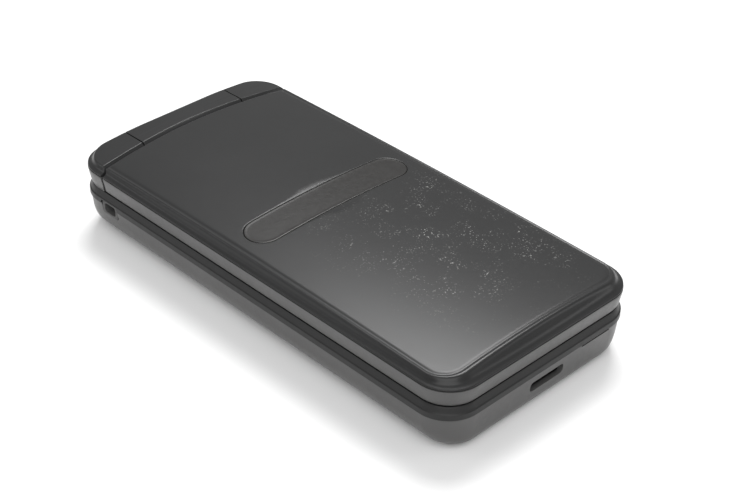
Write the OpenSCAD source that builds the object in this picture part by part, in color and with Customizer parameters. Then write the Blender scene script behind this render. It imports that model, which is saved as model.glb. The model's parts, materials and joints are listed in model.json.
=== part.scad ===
// Clamshell phone, closed. Millimetres, +Z up, +Y towards the hinge, standing on Z = 0.
// Light bands taper inwards and dark bands flare outwards, so four bands show round the sides.

/* [Body] */
// Width of the closed phone at its widest line
body_w = 51; // [48:0.5:56]
// Length of the closed phone at its longest line
body_l = 107; // [103:0.5:116]
// Plan corner radius at the widest line
corner_r = 7.2; // [6:0.1:9]
// Wall of the outer mouldings
wall = 1.1; // [0.9:0.05:1.3]

/* [Base] */
// Height of the battery cover, from the ground to the parting line
cover_h = 8.15; // [7.9:0.05:8.9]
// Height of the dark upper case over the parting line
case_h = 2.55; // [2.45:0.05:3.1]
// Rounding of the battery cover's long lower edges
side_fillet = 5.5; // [4:0.1:5.8]
// Rounding of the battery cover's short lower edges
end_fillet = 3; // [2:0.1:5]
// How far the battery cover's side draws in by the start of its rounding
cover_draft = 0.9; // [0.4:0.05:1.2]
// Depth of the groove where lid and base meet
notch_in = 0.75; // [0.4:0.05:1]

/* [Lid] */
// Gap between the closed lid and the base
lid_gap = 0.35; // [0.3:0.05:0.6]
// Height of the light lid frame
frame_h = 3.45; // [3.2:0.05:4]
// Height of the dark flange that the lid cover lays on the frame
flange_h = 0.5; // [0.3:0.05:0.7]
// Width of the ledge on that flange
ledge_in = 0.8; // [0.6:0.05:1]
// Distance of the crowned top's edge from the long sides
edge_side = 1.6; // [1.5:0.05:2.2]
// Distance of the crowned top's edge from the chin end
edge_chin = 2.7; // [2.2:0.05:3.2]
// Distance of the crowned top's edge from the hinge end
edge_rear = 2; // [1.7:0.05:2.4]
// Height of the crowned top's edge over the frame
edge_rise = 1.6; // [1.5:0.05:2.2]
// Extra height of the lid's middle over its ends
crown_l = 0.6; // [0.2:0.05:1.2]
// Extra height of the lid's middle over its sides
crown_w = 1.2; // [0.6:0.05:1.4]
// Length of the stadium window in the lid
notice_l = 41; // [30:0.5:43]
// Width of the stadium window
notice_w = 8; // [6:0.1:10]
// Distance of the stadium window's centre from the middle of the phone
notice_y = 4.3; // [-5:0.1:15]

/* [Hinge] */
// Radius of the hinge barrel and knuckles
knuckle_r = 4.9; // [4.7:0.05:5]
// How far the dark hinge strip stands proud of the knuckles
strip_over = 0.2; // [0.1:0.05:0.25]
// Distance of the hinge strip's front face from the hinge axis
strip_front = 3.3; // [3.1:0.05:3.5]
// Width of the seam between the hinge strip and the lid cover
seam_w = 0.8; // [0.5:0.05:1]
// Distance from the hinge end to the hinge axis
hinge_back = 4.5; // [4.3:0.05:4.8]
// Height of the hinge axis over the deck
hinge_rise = 2.2; // [2.1:0.05:2.4]
// Clearance between the knuckles and the lid frame's hollow end
hinge_gap = 0.7; // [0.5:0.05:0.9]
// Clearance between the hinge strip and the lid cover's hollow end
cover_gap = 0.3; // [0.25:0.05:0.4]
// Clearance round the barrel in its trough
trough_gap = 0.3; // [0.25:0.05:0.4]
// Half the length of the middle barrel
barrel_half = 13.1; // [11:0.1:14]
// Width of the slits beside the barrel
slit = 0.3; // [0.25:0.05:0.5]
// Radius of the hinge unit's case
unit_r = 2.55; // [2.3:0.05:2.7]
// Radius of the turning shaft in the hinge unit
shaft_r = 1.5; // [1.2:0.05:1.7]
// Running clearance of the shaft and of the pivot bush
running_fit = 0.05; // [0.02:0.01:0.08]

/* [Keys] */
// Width of a number key
key_w = 13.2; // [11:0.1:13.6]
// Length of a number key
key_l = 8.2; // [7:0.1:8.6]
// Pitch of the keys across the phone
pitch_x = 14.6; // [14.4:0.1:14.8]
// Pitch of the key rows
pitch_y = 9.8; // [9.6:0.1:10]
// Centre of the lowest key row, from the chin end
first_row = 12.5; // [12:0.1:13]
// Travel of a key
key_travel = 0.3; // [0.2:0.05:0.35]
// How far the keys stand over the deck
key_proud = 0.12; // [0.05:0.01:0.15]
// Clearance round each key in its opening
key_gap = 0.15; // [0.1:0.01:0.2]
// Outer radius of the direction keys
nav_r = 9.6; // [9:0.1:10]
// Radius of the select key
select_r = 3.9; // [3.4:0.1:4.2]

/* [Openings] */
// Width of the port cut-out
port_w = 9; // [8.8:0.1:10]
// Height of the port cut-out
port_h = 2; // [1.8:0.1:2.6]
// Height of the port's centre
port_z = 5.35; // [5.2:0.05:5.6]
// Offset of the port from the middle of the phone
port_x = 0.9; // [-1:0.1:2]
// Length of the strap eye's hole
eye_l = 3.5; // [2.8:0.1:3.8]
// Height of the strap eye's hole
eye_h = 2.1; // [1.6:0.1:2.2]
// Distance of the strap eye from the hinge end
eye_back = 11.1; // [10.8:0.1:12]
// Distance of the strap eye's centre below the parting line
eye_drop = 0.65; // [0.5:0.05:1]
// Start of the nail notch, from the middle of the chin end
nail_x = 10.1; // [8:0.1:11]
// Length of the nail notch
nail_l = 7.8; // [6:0.1:8]
// Height of the nail notch
nail_h = 0.5; // [0.3:0.05:0.7]

/* [Inside] */
// Distance of the battery from the phone's long sides
battery_side = 6.9; // [6.8:0.1:8.5]
// Distance of the battery from the chin end
battery_chin = 10.7; // [10.2:0.1:14]
// Thickness of the battery
battery_t = 4.4; // [4:0.1:4.5]
// Thickness of the circuit boards
board_t = 0.8; // [0.6:0.05:0.9]
// Distance of the main window from the phone's long sides
window_side = 3.7; // [3.5:0.1:5]
// Distance of the main window from the chin end
window_chin = 8.5; // [8.4:0.1:12]
// Distance of the main window from the hinge axis
window_hinge = 14; // [12.5:0.5:18]
// Thickness of the main window
window_t = 0.75; // [0.6:0.05:0.8]
// Radius of the camera window
camera_r = 4; // [3:0.1:4.5]
// Distance of the camera from the hinge end
camera_back = 23.5; // [23.5:0.5:26]
// Radius of a small screw's shank
screw_r = 0.8; // [0.6:0.05:1]
// Clearance between pieces that are laid in their seats
seat_gap = 0.1; // [0.05:0.01:0.15]

/* [Hidden] */

half_w = body_w / 2;
half_l = body_l / 2;
z_split = cover_h;
z_deck = z_split + case_h;
z_lid = z_deck + lid_gap;
z_rim = z_lid + frame_h;
hinge_y = half_l - hinge_back;
hinge_z = z_deck + hinge_rise;
strip_r = knuckle_r + strip_over;
strip_y = hinge_y - strip_front;
cover_y = strip_y - seam_w;
cover_cut_r = strip_r + cover_gap;
frame_cut_r = knuckle_r + hinge_gap;
trough_r = strip_r + trough_gap;
trough_half = barrel_half + slit;
trough_wall = 0.8;
core_r = unit_r + 0.45;
barrel_core_r = 3.6;
knuckle_end = half_w - 4.2;
unit_l = knuckle_end - 1.1 - trough_half;
bush_end = knuckle_end - 0.9;
drive_l = 7;
corner_steps = 7;
side_steps = 8;
end_steps = 5;
far = 200;

// Heights of the key stack, from the deck down
plate_t = 1.1;
flange_t = 0.5;
flange_over = 0.45;
rest_gap = 0.05;
mat_t = 0.5;
z_plate = z_deck - plate_t;
z_flange = z_plate - rest_gap - flange_t;
z_mat = z_flange - key_travel - rest_gap;
board_drop = 1.35;
z_board = z_split - board_drop;
dome_h = 0.3;
plunger_r = 1.2;
dome_r = 2.2;
dome_top_r = 1.3;
sheet_t = 0.12;
mic_r = 0.45;

// Places of the keys
row_y = [for (row = [0:4]) first_row - half_l + row * pitch_y];
nav_y = row_y[4] + pitch_y / 2 + nav_r + 1;
nav_mid_r = (nav_r + select_r) / 2;
nav_slit = 0.3;
soft_x = pitch_x + 2;
soft_w = 9;
soft_l = 7.2;
soft_dy = 6.2;
key_xy = concat(
    [for (row = [0:4], col = [-1:1]) [col * pitch_x, row_y[row]]],
    [for (sx = [-1, 1], sy = [-1, 1]) [sx * soft_x, nav_y + sy * soft_dy]],
    [for (q = [0:3]) [0, nav_y] + nav_mid_r * [cos(90 * q), sin(90 * q)]],
    [[0, nav_y]]);
sheet_w = body_w - 8.2;
sheet_lo = row_y[0] - key_l / 2 - 0.4;
sheet_hi = nav_y + nav_r + 0.9;

// Places inside the base
case_in = 1.7;
seal_in = case_in + 0.3;
tub_in = case_in + 1.6;
floor_in = side_fillet + 0.4;
floor_z = wall + 0.2;
tub_z = floor_z + 1.5;
tray_z = z_board - 0.2;
board_side = 3.5;
board_w = body_w - 2 * board_side;
board_lo = 3.4 - half_l;
board_hi = hinge_y - trough_r - 2;
pocket_gap = 0.2;
camera_y = half_l - camera_back;
camera_half = camera_r + 0.2;
card_w = 15;
card_l = 8.6;
card_y = camera_y - camera_half - 3.3 - card_l / 2;
battery_w = body_w - 2 * battery_side;
battery_lo = battery_chin - half_l;
battery_hi = card_y - card_l / 2 - 3.1;
battery_l = battery_hi - battery_lo;
bay_y = (battery_lo + battery_hi) / 2;
bay_gap = 0.25;
speaker_w = 11;
speaker_l = 15;
speaker_t = 3;
speaker_x = 6 + speaker_w / 2 - half_w;
motor_r = 5;
motor_t = 2.7;
motor_x = half_w - motor_r - 7;
socket_depth = 5.4;
socket_y = cover_draft + wall + 0.2 - half_l;
tongue_t = 0.45;
eye_y = half_l - eye_back;
eye_z = z_split - eye_drop;
eye_in = 2.7;
tab_l = eye_l + 1.5;
tab_h = eye_h + 0.9;
tab_depth = 3.7;
base_screw_xy = [[half_w - 7.3, 5.9 - half_l], [half_w - 4.9, nav_y], [half_w - 5.9, half_l - 14.2]];
base_head_z = 3;
lid_screw_xy = [[half_w - 6.2, 5.8 - half_l], [half_w - 5.2, hinge_y - frame_cut_r - 4]];
bumper_r = 2.1;
bumper_t = 0.5;
boss_r = 1.7;
head_r = 1.4;
head_t = 0.45;

// Places inside the lid
frame_wall = 2.3;
lid_plate_t = 1.2;
z_lid_in = z_lid + lid_plate_t;
window_w = body_w - 2 * window_side;
window_lo = window_chin - half_l;
window_hi = hinge_y - window_hinge;
window_l = window_hi - window_lo;
window_y = (window_lo + window_hi) / 2;
window_rim = 0.8;
window_rim_l = 4;
display_t = 1.5;
lid_board_z = z_lid_in + display_t + 0.2;
lid_board_chin = 20;
lid_board_hinge = 14;
sub_display_in = 5.5;
earpiece_y = window_lo - 3.4;
earpiece_w = 12;
slot_w = 8;
slot_l = 1.4;

// ---------- outlines ----------

// Rounded rectangle made of true arcs
module rounded_rect(w, l, r) {
    square([w, l - 2 * r], center = true);
    square([w - 2 * r, l], center = true);
    for (sx = [-1, 1], sy = [-1, 1])
        translate([sx * (w / 2 - r), sy * (l / 2 - r)]) circle(r, $fn = 48);
}

// Slab with the body's outline drawn in by one inset
module inset_slab(inset, z0, z1) {
    translate([0, 0, z0])
        linear_extrude(z1 - z0)
            rounded_rect(body_w - 2 * inset, body_l - 2 * inset, corner_r - inset * 0.6);
}

// Solid whose sides follow a profile of [inset, height] round the whole body
module band(profile) {
    last = len(profile) - 1;
    core_w = body_w - 2 * corner_r;
    core_l = body_l - 2 * corner_r;
    rotate([90, 0, 0])
        linear_extrude(core_l, center = true)
            polygon(concat([for (p = profile) [half_w - p[0], p[1]]],
                [for (i = [last:-1:0]) [profile[i][0] - half_w, profile[i][1]]]));
    rotate([90, 0, 90])
        linear_extrude(core_w, center = true)
            polygon(concat([for (p = profile) [half_l - p[0], p[1]]],
                [for (i = [last:-1:0]) [profile[i][0] - half_l, profile[i][1]]]));
    for (q = [0:3])
        translate([(q == 0 || q == 3 ? 1 : -1) * core_w / 2, (q < 2 ? 1 : -1) * core_l / 2, 0])
            rotate(90 * q)
                rotate_extrude(angle = 90, $fn = 96)
                    polygon(concat([[0, profile[0][1]]],
                        [for (p = profile) [corner_r - p[0], p[1]]], [[0, profile[last][1]]]));
}

// Height that the crown adds to the lid's top at one place
function crown(x, y) =
    crown_l * (1 - pow(y / half_l, 2)) + crown_w * (1 - pow(x / (half_w - edge_side), 2));

// One ring of points round the body, drawn in at its sides, chin end and hinge end
function ring_xy(side_in, chin_in, rear_in, steps_side, steps_end) =
    let (rear_r = max(1.5, corner_r - (side_in + rear_in) / 2),
        chin_r = max(1.5, corner_r - (side_in + chin_in) / 2),
        radius = [rear_r, rear_r, chin_r, chin_r],
        side = half_w - side_in,
        rear = half_l - rear_in - rear_r,
        chin = chin_in + chin_r - half_l,
        corner = [[side - rear_r, rear], [rear_r - side, rear],
            [chin_r - side, chin], [side - chin_r, chin]])
    [for (q = [0:3]) each concat(
        [for (a = [0:corner_steps])
            corner[q] + radius[q] * [cos(90 * (q + a / corner_steps)), sin(90 * (q + a / corner_steps))]],
        let (next = (q + 1) % 4,
            way = [cos(90 * (q + 1)), sin(90 * (q + 1))],
            start = corner[q] + radius[q] * way,
            stop = corner[next] + radius[next] * way,
            n = q % 2 == 0 ? steps_end : steps_side)
        [for (i = [1:1:n - 1]) start + (stop - start) * i / n])];

// A ring of the lid at one height over its frame, lifted by a share of the crown
function lid_ring(side_in, chin_in, rear_in, rise, share) =
    [for (p = ring_xy(side_in, chin_in, rear_in, side_steps, end_steps))
        [p.x, p.y, z_rim + rise + share * crown(p.x, p.y)]];

// A ring on the slope from the ledge to the edge of the crowned top, by shares of its run and rise
function slope_ring(run, rise, thinner = 0) =
    lid_ring(ledge_in + run * (edge_side - ledge_in) + thinner,
        ledge_in + run * (edge_chin - ledge_in) + thinner,
        ledge_in + run * (edge_rear - ledge_in) + thinner,
        flange_h + rise * (edge_rise - flange_h) - thinner, rise);

// The ring of a plain level outline
function flat_ring(side_in, end_in, z) =
    [for (p = ring_xy(side_in, end_in, end_in, 1, 1)) [p.x, p.y, z]];

// The ring drawn towards the middle of the crowned top
function shrunk(base, share, z) =
    [for (p = base) [p.x * share, p.y * share, z + crown(p.x * share, p.y * share)]];

// Skin through rings of equal count, closed by a fan to a point below and one above
module skin(rings, base, peak) {
    n = len(rings[0]);
    top = (len(rings) - 1) * n;
    last = len(rings) * n;
    polyhedron(
        points = concat([for (r = rings) each r], [base, peak]),
        faces = concat(
            [for (i = [0:n - 1]) [i, (i + 1) % n, last]],
            [for (k = [0:len(rings) - 2], i = [0:n - 1])
                [k * n + i, (k + 1) * n + i, (k + 1) * n + (i + 1) % n]],
            [for (k = [0:len(rings) - 2], i = [0:n - 1])
                [k * n + i, (k + 1) * n + (i + 1) % n, k * n + (i + 1) % n]],
            [for (i = [0:n - 1]) [top + (i + 1) % n, top + i, last + 1]]));
}

// Rings of the crowned top, from its edge to near its middle
function top_rings(edge, z) = [for (share = [1, 0.86, 0.66, 0.42, 0.18]) shrunk(edge, share, z)];

// Outer form of the lid over its frame: flange, ledge, slope and crowned top
module lid_form() {
    z_edge = z_rim + edge_rise;
    ease = 0.06;
    skin(concat([
        lid_ring(0, 0, 0, 0, 0),
        lid_ring(0, 0, 0, flange_h - ease, 0),
        lid_ring(ease, ease, ease, flange_h, 0),
        slope_ring(0, 0),
        slope_ring(0.35, 0.15),
        slope_ring(0.6, 0.5),
        slope_ring(0.8, 0.9)
    ], top_rings(slope_ring(1, 1), z_edge)), [0, 0, z_rim], [0, 0, z_edge + crown(0, 0)]);
}

// The space under the lid cover, which its wall leaves, or the half of its wall
module lid_space(thinner) {
    z_edge = z_rim + edge_rise - thinner;
    foot = -1;
    wide = ledge_in + 0.35 * (edge_side - ledge_in) + thinner;
    long = ledge_in + 0.35 * (edge_chin - ledge_in) + thinner;
    skin(concat([
        lid_ring(wide, long, long, foot, 0),
        lid_ring(wide, long, long, flange_h + 0.5 * (edge_rise - flange_h) - thinner, 0.5)
    ], top_rings(slope_ring(1, 1, thinner), z_edge)), [0, 0, z_rim + foot], [0, 0, z_edge + crown(0, 0)]);
}

// Cylinder along the hinge axis
module hinge_cylinder(r, x0, x1, sides = 96) {
    translate([x0, hinge_y, hinge_z]) rotate([90, 0, 90]) cylinder(h = x1 - x0, r = r, $fn = sides);
}

// Everything on the hinge's side of a plane across the phone
module behind(y) {
    translate([-far / 2, y, -far / 2]) cube(far);
}

// Stadium lying across the phone
module stadium(l, w, z0, z1) {
    translate([0, notice_y, z0])
        linear_extrude(z1 - z0) {
            square([l - w, w], center = true);
            for (s = [-1, 1]) translate([s * (l - w) / 2, 0]) circle(w / 2, $fn = 48);
        }
}

frame_profile = [[notch_in, z_lid], [notch_in * 0.6, z_lid + 0.5], [0, z_rim - 0.5], [0, z_rim]];
knuckle_profile = concat([[notch_in, z_deck]], frame_profile);
barrel_profile = concat([[notch_in, z_split - 1]], frame_profile);
case_profile = [[0, z_split], [0, z_split + 1.2], [0.25, z_deck - 1.2], [notch_in, z_deck]];

// ---------- base ----------

// Inset of a rounded lower edge at one height over its flat
function fillet_in(z, r) = z >= r ? 0 : r - sqrt(r * r - pow(r - z, 2));

// Inset of the battery cover's drafted side at one height
function draft_in(z) = 0.15 + (cover_draft - 0.15) * pow((z_split - z) / z_split, 0.7);

// Outer or inner form of the battery cover; the inner one is drawn in by the wall
module cover_form(inner) {
    t = inner ? wall : 0;
    heights = inner ? [0, 0.25, 0.8, 1.7, 2.8, 4.3, z_split - t + 1]
        : [0, 0.12, 0.45, 1, 1.8, 2.8, 4, 5.4, z_split];
    skin([for (h = heights)
        let (z = h + t, draft = draft_in(min(z, z_split)) + t)
        flat_ring(draft + fillet_in(h, side_fillet - t), draft + fillet_in(h, end_fillet - t * 0.6), z)],
        [0, 0, heights[0] + t], [0, 0, heights[len(heights) - 1] + t]);
}

// Outline of the port: flat above, with its lower corners cut off
module port_outline(grow = 0) {
    w = port_w / 2 + grow;
    h = port_h / 2 + grow;
    polygon([[-w, h], [-w, -h + 0.5], [-w + 0.7, -h], [w - 0.7, -h], [w, -h + 0.5], [w, h]]);
}

module battery_cover() {
    color("#5c5c5e")
        difference() {
            cover_form(false);
            cover_form(true);
            translate([port_x, -half_l + 4, port_z])
                rotate([90, 0, 0]) linear_extrude(8) port_outline();
            translate([nail_x, -half_l - 1, z_split - nail_h]) cube([nail_l, wall + 1.3, 1]);
            strap_tab(seat_gap);
            strap_hole(-1, tub_z);
            translate([0, camera_y, -1]) cylinder(h = 4, r = camera_r + seat_gap, $fn = 48);
            speaker_slots();
        }
}

// The lug round the strap eye, from outside the wall inwards, or the seat for it
module strap_tab(grow) {
    translate([-half_w - grow, eye_y, eye_z])
        rotate([90, 0, 90])
            linear_extrude(tab_depth + 2 * grow)
                rounded_rect(tab_l + 2 * grow, tab_h + 2 * grow, 0.6 + grow);
}

// The strap's way out underneath
module strap_hole(z0, z1) {
    translate([eye_in - half_w, eye_y, z0]) cylinder(h = z1 - z0, r = eye_h / 2, $fn = 24);
}

// Sound slots over the middle of the loudspeaker
module speaker_slots() {
    slot = 0.8;
    pitch = 1.9;
    for (k = [-2:2])
        translate([speaker_x - (speaker_w - 4) / 2, camera_y + k * pitch - slot / 2, -1])
            cube([speaker_w - 4, slot, wall + 2]);
}

// Seats and holes that the screws need, in every piece that they pass
module base_screw_holes(r, z0, z1) {
    for (p = base_screw_xy, s = [-1, 1])
        translate([s * p.x, p.y, z0]) cylinder(h = z1 - z0, r = r, $fn = 24);
}

module key_openings(grow, z0, z1) {
    translate([0, 0, z0])
        linear_extrude(z1 - z0) {
            for (row = [0:4], col = [-1:1])
                translate([col * pitch_x, row_y[row]])
                    rounded_rect(key_w + 2 * grow, key_l + 2 * grow, 1.6);
            for (sx = [-1, 1], sy = [-1, 1])
                translate([sx * soft_x, nav_y + sy * soft_dy])
                    rounded_rect(soft_w + 2 * grow, soft_l + 2 * grow, 1.6);
            translate([0, nav_y]) circle(nav_r + grow, $fn = 72);
        }
}

module upper_case() {
    color("#37373a")
        difference() {
            union() {
                difference() {
                    band(case_profile);
                    difference() {
                        inset_slab(case_in, z_split - 1, z_plate);
                        behind(hinge_y - trough_r - 1);
                    }
                }
                base_screw_bosses();
                intersection() {
                    hinge_cylinder(trough_r + trough_wall, -trough_half - trough_wall,
                        trough_half + trough_wall);
                    inset_slab(case_in, z_split - 2, z_split + 0.5);
                }
            }
            strap_tab(seat_gap);
            hinge_cylinder(trough_r, -trough_half, trough_half);
            translate([-trough_half, hinge_y, z_deck - 1.8]) cube([2 * trough_half, 2 * knuckle_r, 4]);
            hinge_cylinder(core_r + rest_gap, -knuckle_end - rest_gap, knuckle_end + rest_gap);
            key_openings(key_gap, z_plate - 1, z_deck + 1);
            base_screw_holes(screw_r + rest_gap, z_split - 1, z_plate - 0.4);
            translate([0, (row_y[0] - key_l / 2 - half_l) / 2, z_plate - 1])
                cylinder(h = plate_t + 2, r = mic_r, $fn = 24);
        }
}

module base_screw_bosses() {
    for (p = base_screw_xy, s = [-1, 1])
        translate([s * p.x, p.y, z_split])
            cylinder(h = z_plate - z_split + 0.2, r = boss_r, $fn = 24);
}

module chassis() {
    tab_x = draft_in(eye_z) + 0.05 - half_w;
    color("#2c2c2e")
        difference() {
            union() {
                inset_slab(floor_in, floor_z, tub_z + 0.1);
                inset_slab(tub_in, tub_z, tray_z);
                inset_slab(case_in, tray_z - 0.1, z_split);
                difference() {
                    strap_tab(0);
                    translate([tab_x - far, -far / 2, -far / 2]) cube(far);
                }
            }
            translate([-board_w / 2 - pocket_gap, board_lo - pocket_gap, z_board])
                cube([board_w + 2 * pocket_gap, board_hi - board_lo + 2 * pocket_gap, z_split]);
            translate([-trough_half - 1.1, hinge_y - trough_r - 1.1, hinge_z - trough_r - 1])
                cube([2 * trough_half + 2.2, far, far]);
            translate([-battery_w / 2 - bay_gap, battery_lo - bay_gap, -1])
                cube([battery_w + 2 * bay_gap, battery_l + 2 * bay_gap, z_board - 0.7 + 1]);
            translate([port_x - port_w / 2 - pocket_gap, -half_l, port_z - 1.6])
                cube([port_w + 2 * pocket_gap, socket_y + half_l + socket_depth + 0.6, z_split]);
            translate([-card_w / 2 - seat_gap, card_y - card_l / 2 - seat_gap, -1])
                cube([card_w + 2 * seat_gap, card_l + 2 * seat_gap, tub_z - 0.2 + 1]);
            translate([-camera_half - pocket_gap, camera_y - camera_half - pocket_gap, -1])
                cube([2 * (camera_half + pocket_gap), 2 * (camera_half + pocket_gap), z_board]);
            translate([speaker_x - speaker_w / 2 - seat_gap, camera_y - speaker_l / 2 - seat_gap, -1])
                cube([speaker_w + 2 * seat_gap, speaker_l + 2 * seat_gap, wall + speaker_t + 1.4]);
            translate([motor_x, camera_y, -1])
                cylinder(h = wall + motor_t + 1.5, r = motor_r + seat_gap, $fn = 48);
            base_screw_holes(screw_r + rest_gap, 0, z_split + 1);
            base_screw_holes(head_r + seat_gap, 0, base_head_z + 0.6);
            translate([-half_w - 1, eye_y, eye_z])
                rotate([90, 0, 90])
                    linear_extrude(eye_in + eye_h / 2 + 1) rounded_rect(eye_l, eye_h, 0.7);
            strap_hole(-1, eye_z);
        }
}

module cover_seal() {
    seal_z = 5.4;
    seal_h = 0.9;
    color("#202022")
        difference() {
            inset_slab(seal_in, seal_z, seal_z + seal_h);
            inset_slab(tub_in, seal_z - 1, seal_z + 2);
            translate([port_x - port_w / 2 - 0.3, -half_l, 0]) cube([port_w + 0.6, 8, z_split]);
            translate([-half_w, eye_y - tab_l / 2 - 0.2, 0]) cube([tab_depth, tab_l + 0.4, z_split]);
        }
}

module battery_pack() {
    label_w = 8;
    color("#3a3d42")
        difference() {
            translate([0, bay_y, wall + 0.1])
                linear_extrude(battery_t) rounded_rect(battery_w, battery_l, 1.5);
            translate([-label_w / 2, battery_hi - 1, wall + battery_t - 1.4]) cube([label_w, 2, 0.9]);
        }
}

module main_board() {
    shield_w = 11;
    shield_x = 4.5;
    shield_lo = sheet_hi + 0.3;
    color("#1f4a33")
        difference() {
            translate([-board_w / 2, board_lo, z_board]) cube([board_w, board_hi - board_lo, board_t]);
            base_screw_holes(boss_r + pocket_gap, z_board - 1, z_split + 1);
        }
    color("#9a9a9a")
        for (x = [shield_x, -shield_x - shield_w])
            translate([x, shield_lo, z_board + board_t / 2])
                cube([shield_w, board_hi - 2 - shield_lo, board_t / 2 + 0.5]);
}

// Outline of the dome sheet and of the key mat, cut away round the screw bosses
module sheet_outline() {
    difference() {
        translate([-sheet_w / 2, sheet_lo]) square([sheet_w, sheet_hi - sheet_lo]);
        for (p = base_screw_xy, s = [-1, 1])
            translate([s * p.x, p.y]) circle(boss_r + 0.3, $fn = 24);
    }
}

module dome_sheet() {
    color("#c9c9cc")
        translate([0, 0, z_board + board_t]) {
            linear_extrude(sheet_t) sheet_outline();
            for (p = key_xy) translate(p) cylinder(h = dome_h, r1 = dome_r, r2 = dome_top_r, $fn = 24);
        }
}

module key_mat() {
    z0 = z_mat - mat_t;
    plunger_z = z_board + board_t + dome_h + rest_gap;
    color("#8d8f93") {
        translate([0, 0, z0]) linear_extrude(mat_t) sheet_outline();
        for (p = key_xy)
            translate([p.x, p.y, plunger_z]) cylinder(h = z0 - plunger_z + 0.1, r = plunger_r, $fn = 24);
    }
}

module usb_socket() {
    shell_z = 1.3;
    color("#8c8c90")
        translate([port_x, socket_y, port_z]) {
            difference() {
                translate([-port_w / 2, 0, -shell_z])
                    cube([port_w, socket_depth, z_board - port_z + shell_z]);
                translate([0, socket_depth - 0.4, 0])
                    rotate([90, 0, 0]) linear_extrude(socket_depth) port_outline(-0.3);
            }
            translate([1.5 - port_w / 2, 1, 0.15]) cube([port_w - 3, socket_depth - 1.2, tongue_t]);
        }
}

module card_tray() {
    color("#b7b7ba")
        translate([-card_w / 2, card_y - card_l / 2, floor_z])
            difference() {
                cube([card_w, card_l, 1.2]);
                translate([1, 1, 0.5]) cube([card_w - 2, card_l, 0.3]);
            }
}

module camera_module() {
    color("#141416")
        translate([0, camera_y, wall + 0.05]) {
            translate([-camera_half, -camera_half, 0.9]) cube([2 * camera_half, 2 * camera_half, 3.6]);
            difference() {
                cylinder(h = 1, r = camera_r - 0.7, $fn = 48);
                translate([0, 0, -0.1]) cylinder(h = 0.8, r1 = 2.2, r2 = 1.2, $fn = 48);
            }
        }
}

module camera_window() {
    color("#101014")
        translate([0, camera_y, 0.2]) cylinder(h = wall - 0.2, r = camera_r, $fn = 48);
}

module loudspeaker() {
    color("#2a2a2c")
        translate([speaker_x, camera_y, wall + 0.1])
            difference() {
                linear_extrude(speaker_t) rounded_rect(speaker_w, speaker_l, 1.5);
                translate([0, 0, -0.1])
                    linear_extrude(0.5) rounded_rect(speaker_w - 2.4, speaker_l - 2.4, 1);
            }
}

module vibration_motor() {
    color("#9d9da0")
        translate([motor_x, camera_y, wall + 0.15]) {
            cylinder(h = motor_t, r = motor_r, $fn = 48);
            translate([0, 0, motor_t]) cylinder(h = 0.2, r = 1.2, $fn = 24);
        }
}

module base_screws() {
    color("#8a8a8e")
        for (p = base_screw_xy, s = [-1, 1])
            translate([s * p.x, p.y, base_head_z]) {
                cylinder(h = 0.6, r = head_r, $fn = 24);
                cylinder(h = z_plate - 0.5 - base_head_z, r = screw_r, $fn = 24);
            }
}

// ---------- keys ----------

// One key: cap under a slightly arched top, on a wider flange that the case holds down
module key(x, y, w, l) {
    arch_r = 60;
    translate([x, y, 0]) {
        intersection() {
            translate([0, 0, z_flange])
                linear_extrude(z_deck + key_proud - z_flange) rounded_rect(w, l, 1.5);
            translate([-w, 0, z_deck + key_proud - arch_r])
                rotate([90, 0, 90]) cylinder(h = 2 * w, r = arch_r, $fn = 360);
        }
        translate([0, 0, z_flange])
            linear_extrude(flange_t) rounded_rect(w + 2 * flange_over, l + 2 * flange_over, 1.8);
    }
}

module number_key(col, row) {
    color("#3c3c3f") key(col * pitch_x, row_y[row], key_w, key_l);
}

// The middle key, with the raised bar that a thumb finds it by
module middle_key() {
    bar = [1.8, 0.5, 0.15];
    number_key(0, 2);
    color("#3c3c3f")
        translate([0, row_y[2] - key_l / 2 + 1.2, z_deck + key_proud - 0.1 + bar.z / 2])
            cube(bar, center = true);
}

module soft_key(sx, sy) {
    color("#3c3c3f") key(sx * soft_x, nav_y + sy * soft_dy, soft_w, soft_l);
}

// One quarter of the direction ring, turned to its side of the select key
module nav_key(turn) {
    color("#46464a") {
        nav_quarter(turn, nav_r, z_deck + key_proud - z_flange);
        nav_quarter(turn, nav_r + flange_over, flange_t);
    }
}

module nav_quarter(turn, r, h) {
    lean = nav_slit / sqrt(2);
    translate([0, nav_y, z_flange])
        linear_extrude(h)
            rotate(turn)
                difference() {
                    intersection() {
                        circle(r, $fn = 96);
                        polygon([[lean, 0], [lean + far, far], [lean + far, -far]]);
                    }
                    circle(select_r + 2 * key_gap, $fn = 72);
                }
}

module key_select() {
    color("#505055")
        translate([0, nav_y, z_flange])
            cylinder(h = z_deck + key_proud - z_flange, r = select_r, $fn = 72);
}

// ---------- hinge ----------

// Half of the hinge that the base carries: ring round the bore, under a band like the lid's
module knuckle(s, bore_r) {
    color("#626265")
        difference() {
            union() {
                intersection() {
                    band(knuckle_profile);
                    hinge_cylinder(knuckle_r, s > 0 ? trough_half : -far, s > 0 ? far : -trough_half);
                }
                hinge_cylinder(core_r, s > 0 ? trough_half : -knuckle_end,
                    s > 0 ? knuckle_end : -trough_half);
            }
            hinge_cylinder(bore_r, s > 0 ? 0 : 0.8 - knuckle_end, s > 0 ? knuckle_end - 0.8 : 0);
        }
}

// Part of the dark hinge strip between two planes along the hinge axis
module strip(x0, x1) {
    intersection() {
        lid_form();
        hinge_cylinder(strip_r, x0, x1);
        behind(strip_y);
    }
}

module hinge_cap(s) {
    color("#333335")
        difference() {
            strip(s > 0 ? trough_half : -far, s > 0 ? far : -trough_half);
            hinge_cylinder(core_r + rest_gap, -knuckle_end - rest_gap, knuckle_end + rest_gap);
        }
}

module barrel_cover() {
    color("#333335")
        difference() {
            strip(-barrel_half, barrel_half);
            hinge_cylinder(barrel_core_r + rest_gap, -far, far);
        }
}

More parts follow.
